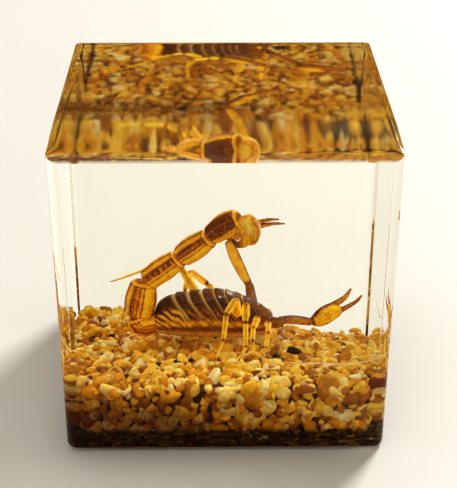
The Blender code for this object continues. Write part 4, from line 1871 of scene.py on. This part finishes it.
@dataclass(frozen=True)
class Leg:
    """A walking leg: its joints from the body to the foot."""

    joints: tuple[Station, ...]
    side: Triple = (1.0, 0.0, 0.0)
    # How a link swells in its middle, and where that is between its joints.
    swell: float = 1.08
    swell_at: float = 0.55
    neck: float = 0.9
    # A claw's reach onward, aside and down, and its radius and darkness.
    claw: Triple = (0.5, 0.25, 0.12)
    claw_radius: float = 0.1
    claw_dark: float = 0.6

    def build(self) -> Shape:
        """Make the leg."""
        parts = []
        for start, end in zip(self.joints, self.joints[1:]):
            share = self.swell_at
            middle = tuple((1.0 - share) * a + share * b for a, b in zip(start[:3], end[:3]))
            radius = self.swell * (0.5 * start[3] + 0.5 * end[3])
            stations = ((*start[:3], self.neck * start[3]), (*middle, radius), end)
            parts.append(Sweep(stations, side=self.side, rings=22, sides=18, marks=self._marks).build())
        return Shape.joined(parts + self._claws())

    def _claws(self) -> list[Shape]:
        """The two small claws at the foot."""
        knee, foot = (np.array(joint[:3]) for joint in self.joints[-2:])
        onward = unit((foot - knee) * (1.0, 1.0, 0.25))
        across = unit(np.cross(onward, (0.0, 0.0, 1.0)))
        reach, aside, drop = self.claw
        tips = [foot + reach * onward + lean * aside * across - (0.0, 0.0, drop) for lean in (-1.0, 1.0)]
        return [spike(tuple(foot), tuple(tip), self.claw_radius, dark=self.claw_dark) for tip in tips]

    @staticmethod
    def _marks(around: np.ndarray, along: np.ndarray) -> Marks:
        """Darker edges and joints."""
        edges = bump(np.cos(around), 1.0, 0.2) + bump(np.cos(around), -1.0, 0.2)
        ends = bump(along, 0.0, 0.07) + bump(along, 1.0, 0.06)
        return tones(around, along, 0.05 + 0.4 * edges + 0.7 * ends)


# The near legs from front to back, then the far ones.
LEGS = tuple(Leg(joints) for joints in (
    (
        (6.15, 0.4, 13.15, 0.6), (6.35, -1.8, 14.3, 0.42), (6.25, -3.4, 13.2, 0.36),
        (5.85, -5.85, 11.6, 0.23), (5.45, -6.9, 10.95, 0.13),
    ),
    (
        (4.35, 0.2, 13.45, 0.65), (4.75, -2.1, 15.3, 0.48), (4.1, -4.0, 14.3, 0.42),
        (3.95, -6.25, 12.95, 0.25), (4.25, -7.7, 10.95, 0.13),
    ),
    (
        (2.95, -0.2, 13.75, 0.75), (3.05, -2.45, 17.85, 0.5), (2.95, -4.1, 15.3, 0.44),
        (3.05, -6.25, 11.95, 0.25), (2.05, -9.1, 10.95, 0.13),
    ),
    (
        (1.8, -0.6, 13.95, 0.8), (1.6, -2.75, 18.75, 0.52), (0.2, -4.0, 16.6, 0.45),
        (-0.2, -6.45, 13.15, 0.26), (-1.4, -9.1, 10.95, 0.13),
    ),
    (
        (5.55, 3.45, 13.35, 0.7), (6.55, 5.85, 13.65, 0.5), (6.55, 8.05, 11.95, 0.4),
        (6.15, 9.65, 9.7, 0.14),
    ),
    (
        (3.55, 3.65, 13.65, 0.7), (3.15, 6.9, 15.2, 0.5), (2.6, 9.1, 12.55, 0.4),
        (1.8, 10.65, 10.0, 0.14),
    ),
    (
        (0.2, 4.05, 14.35, 0.8), (-2.4, 6.7, 17.85, 0.5), (-4.95, 8.55, 19.35, 0.5),
        (-5.85, 9.5, 15.9, 0.36), (-5.55, 10.45, 10.95, 0.14),
    ),
    (
        (-3.0, 4.45, 14.9, 0.8), (-6.55, 6.95, 21.0, 0.45), (-8.35, 7.55, 21.1, 0.36),
        (-11.8, 8.95, 19.45, 0.22), (-16.5, 10.9, 17.0, 0.12),
    ),
))


@dataclass
class Specimen:
    """The whole scorpion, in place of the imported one."""

    trunk: Trunk = field(default_factory=Trunk)
    tail: Tail = field(default_factory=Tail)
    sting: Sting = field(default_factory=Sting)
    jaws: tuple[tuple[Station, ...], ...] = (
        ((6.2, 1.0, 13.4, 0.75), (8.0, 1.1, 13.0, 0.35)),
        ((6.2, 2.65, 13.4, 0.75), (8.0, 2.55, 13.0, 0.35)),
    )
    # The eyes' places and radii: a pair on the mound, and two smaller ones at each front corner.
    eyes: tuple[Station, ...] = (
        (5.3, 1.5, 15.85, 0.2), (5.3, 2.1, 15.85, 0.2), (6.7, 0.35, 14.3, 0.13), (6.9, 0.6, 14.2, 0.12),
        (6.7, 3.25, 14.3, 0.13), (6.9, 3.0, 14.2, 0.12),
    )

    def build(self, finishes: Finishes) -> list[bpy.types.Object]:
        """Make every part of the scorpion.

        Args:
            finishes: the materials.

        Returns:
            The pieces.
        """
        pieces = [self.trunk.build(finishes), self.tail.build(finishes), self.sting.build(finishes)]
        for pincer in PINCERS:
            pieces += pincer.build(finishes)
        groups = (
            ("scorpion_legs", [leg.build() for leg in LEGS], Look.LEG),
            ("scorpion_jaws", [ArmPart(jaw).build() for jaw in self.jaws], Look.ARM),
            ("scorpion_eyes", [bead(eye) for eye in self.eyes], Look.EYE),
        )
        for name, shapes, look in groups:
            pieces.append(Shape.joined(shapes).as_object(name, finishes.shell[look]))
        for piece in pieces:
            attach(piece, Slot.CHITIN, "scorpion")
        return pieces


# ------------------------------------------------------------------------------------------------ studio


@dataclass(frozen=True)
class SoftLight:
    """A rectangular soft light, in metres and watts."""

    name: str
    place: Triple
    aim: Triple
    size: tuple[float, float]
    power: float
    colour: Triple

    def hang(self) -> None:
        """Hang it in the scene."""
        data = bpy.data.lights.new(self.name, "AREA")
        data.shape = "RECTANGLE"
        data.size, data.size_y = self.size
        data.energy = self.power
        data.color = self.colour
        light = in_scene(self.name, data)
        light.location = self.place
        light.rotation_euler = (Vector(self.aim) - Vector(self.place)).to_track_quat("-Z", "Y").to_euler()


LIGHTS = (
    SoftLight("back key", (0.56, 0.88, 0.8), (0.0, 0.0, 0.02), (0.32, 0.32), 12.8, (1.0, 0.99, 0.965)),
    SoftLight("top fill", (-0.1, 0.05, 0.7), (0.0, 0.0, 0.0), (0.6, 0.6), 1.2, (1.0, 0.99, 0.97)),
    SoftLight("front fill", (-0.3, -0.7, 0.5), (0.0, 0.0, 0.02), (0.5, 0.4), 0.7, (1.0, 0.98, 0.95)),
)


@dataclass
class Studio:
    """The pale floor, the soft lights and the camera."""

    # The camera's turns in degrees, its lens, and its place in millimetres.
    yaw: float = 0.7785
    pitch: float = 28.788
    roll: float = 0.134
    lens: float = 89.11
    eye: Triple = (-1.466, -156.714, 108.154)
    floor_half: float = 1500.0
    floor_drop: float = 0.05
    floor_tones: tuple[Colour, Colour] = (paint(211, 211, 205), paint(217, 217, 212))
    # The colours of the surroundings by height, from below to above.
    surroundings: tuple[tuple[float, Colour], ...] = (
        (0.0, paint(104, 80, 58)), (0.35, paint(96, 80, 64)), (0.75, paint(150, 142, 132)),
        (1.0, paint(176, 172, 166)),
    )

    def camera(self) -> None:
        """Stand the camera where the photograph was taken from."""
        yaw, pitch, roll = (math.radians(angle) for angle in (self.yaw, self.pitch, self.roll))
        forward = Vector((math.sin(yaw) * math.cos(pitch), math.cos(yaw) * math.cos(pitch), -math.sin(pitch)))
        level = Vector((math.cos(yaw), -math.sin(yaw), 0.0))
        upward = level.cross(forward)
        right = math.cos(roll) * level + math.sin(roll) * upward
        top = -math.sin(roll) * level + math.cos(roll) * upward
        data = bpy.data.cameras.new("camera")
        data.lens = self.lens
        data.clip_start = 0.01
        camera = in_scene("camera", data)
        turn = Matrix((right, top, -forward)).transposed().to_4x4()
        camera.matrix_world = Matrix.Translation(Vector(self.eye) * MM) @ turn
        bpy.context.scene.camera = camera

    def floor(self) -> None:
        """Lay the pale floor just under the block."""
        half, height = self.floor_half * MM, -self.floor_drop * MM
        mesh = bpy.data.meshes.new("floor")
        spots = ((-half, -half, height), (half, -half, height), (half, half, height), (-half, half, height))
        mesh.from_pydata(spots, [], [(0, 1, 2, 3)])
        sheet = MaterialSheet("pale_floor")
        colour = sheet.mix(sheet.noise(sheet.here(), 6.0, detail=2.0), *self.floor_tones)
        mesh.materials.append(sheet.shade({"Base Color": colour, "Roughness": 0.6}))
        in_scene("floor", mesh)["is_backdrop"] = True

    def world(self) -> None:
        """Surround the scene with soft light that is brighter from above than from below."""
        world = bpy.data.worlds.new("soft surroundings")
        world.use_nodes = True
        bpy.context.scene.world = world
        sheet = NodeSheet(world.node_tree)
        height = sheet.parts(sheet.add("ShaderNodeTexCoord").outputs["Generated"])["Z"]
        values = {"Color": sheet.ramp(height, self.surroundings), "Strength": 1.0}
        sheet.feed(world.node_tree.nodes["Background"], values)

    def build(self) -> None:
        """Set the studio up."""
        self.camera()
        self.floor()
        self.world()
        for light in LIGHTS:
            light.hang()
        bpy.context.scene.view_settings.view_transform = "Standard"
        bpy.context.scene.view_settings.look = "High Contrast"


def corners(box: tuple[Sequence[float], Sequence[float]]) -> list[list[float]]:
    """A box as plain lists of numbers."""
    return [[float(value) for value in corner] for corner in box]


def main() -> None:
    """Build the studio and every piece of the block."""
    logging.basicConfig(level=logging.INFO, format="%(message)s")
    packed_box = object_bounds()
    Studio().build()
    finishes = Finishes.make()
    low, high = (Vector(corner) for corner in packed_box)
    ResinBlock(low, high).build(finishes)
    PourMarks().build(finishes)
    PebbleBed().build(finishes)
    Specimen().build(finishes)
    {"cad": corners(packed_box), "visual": corners(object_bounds())}


if __name__ == "__main__":
    main()
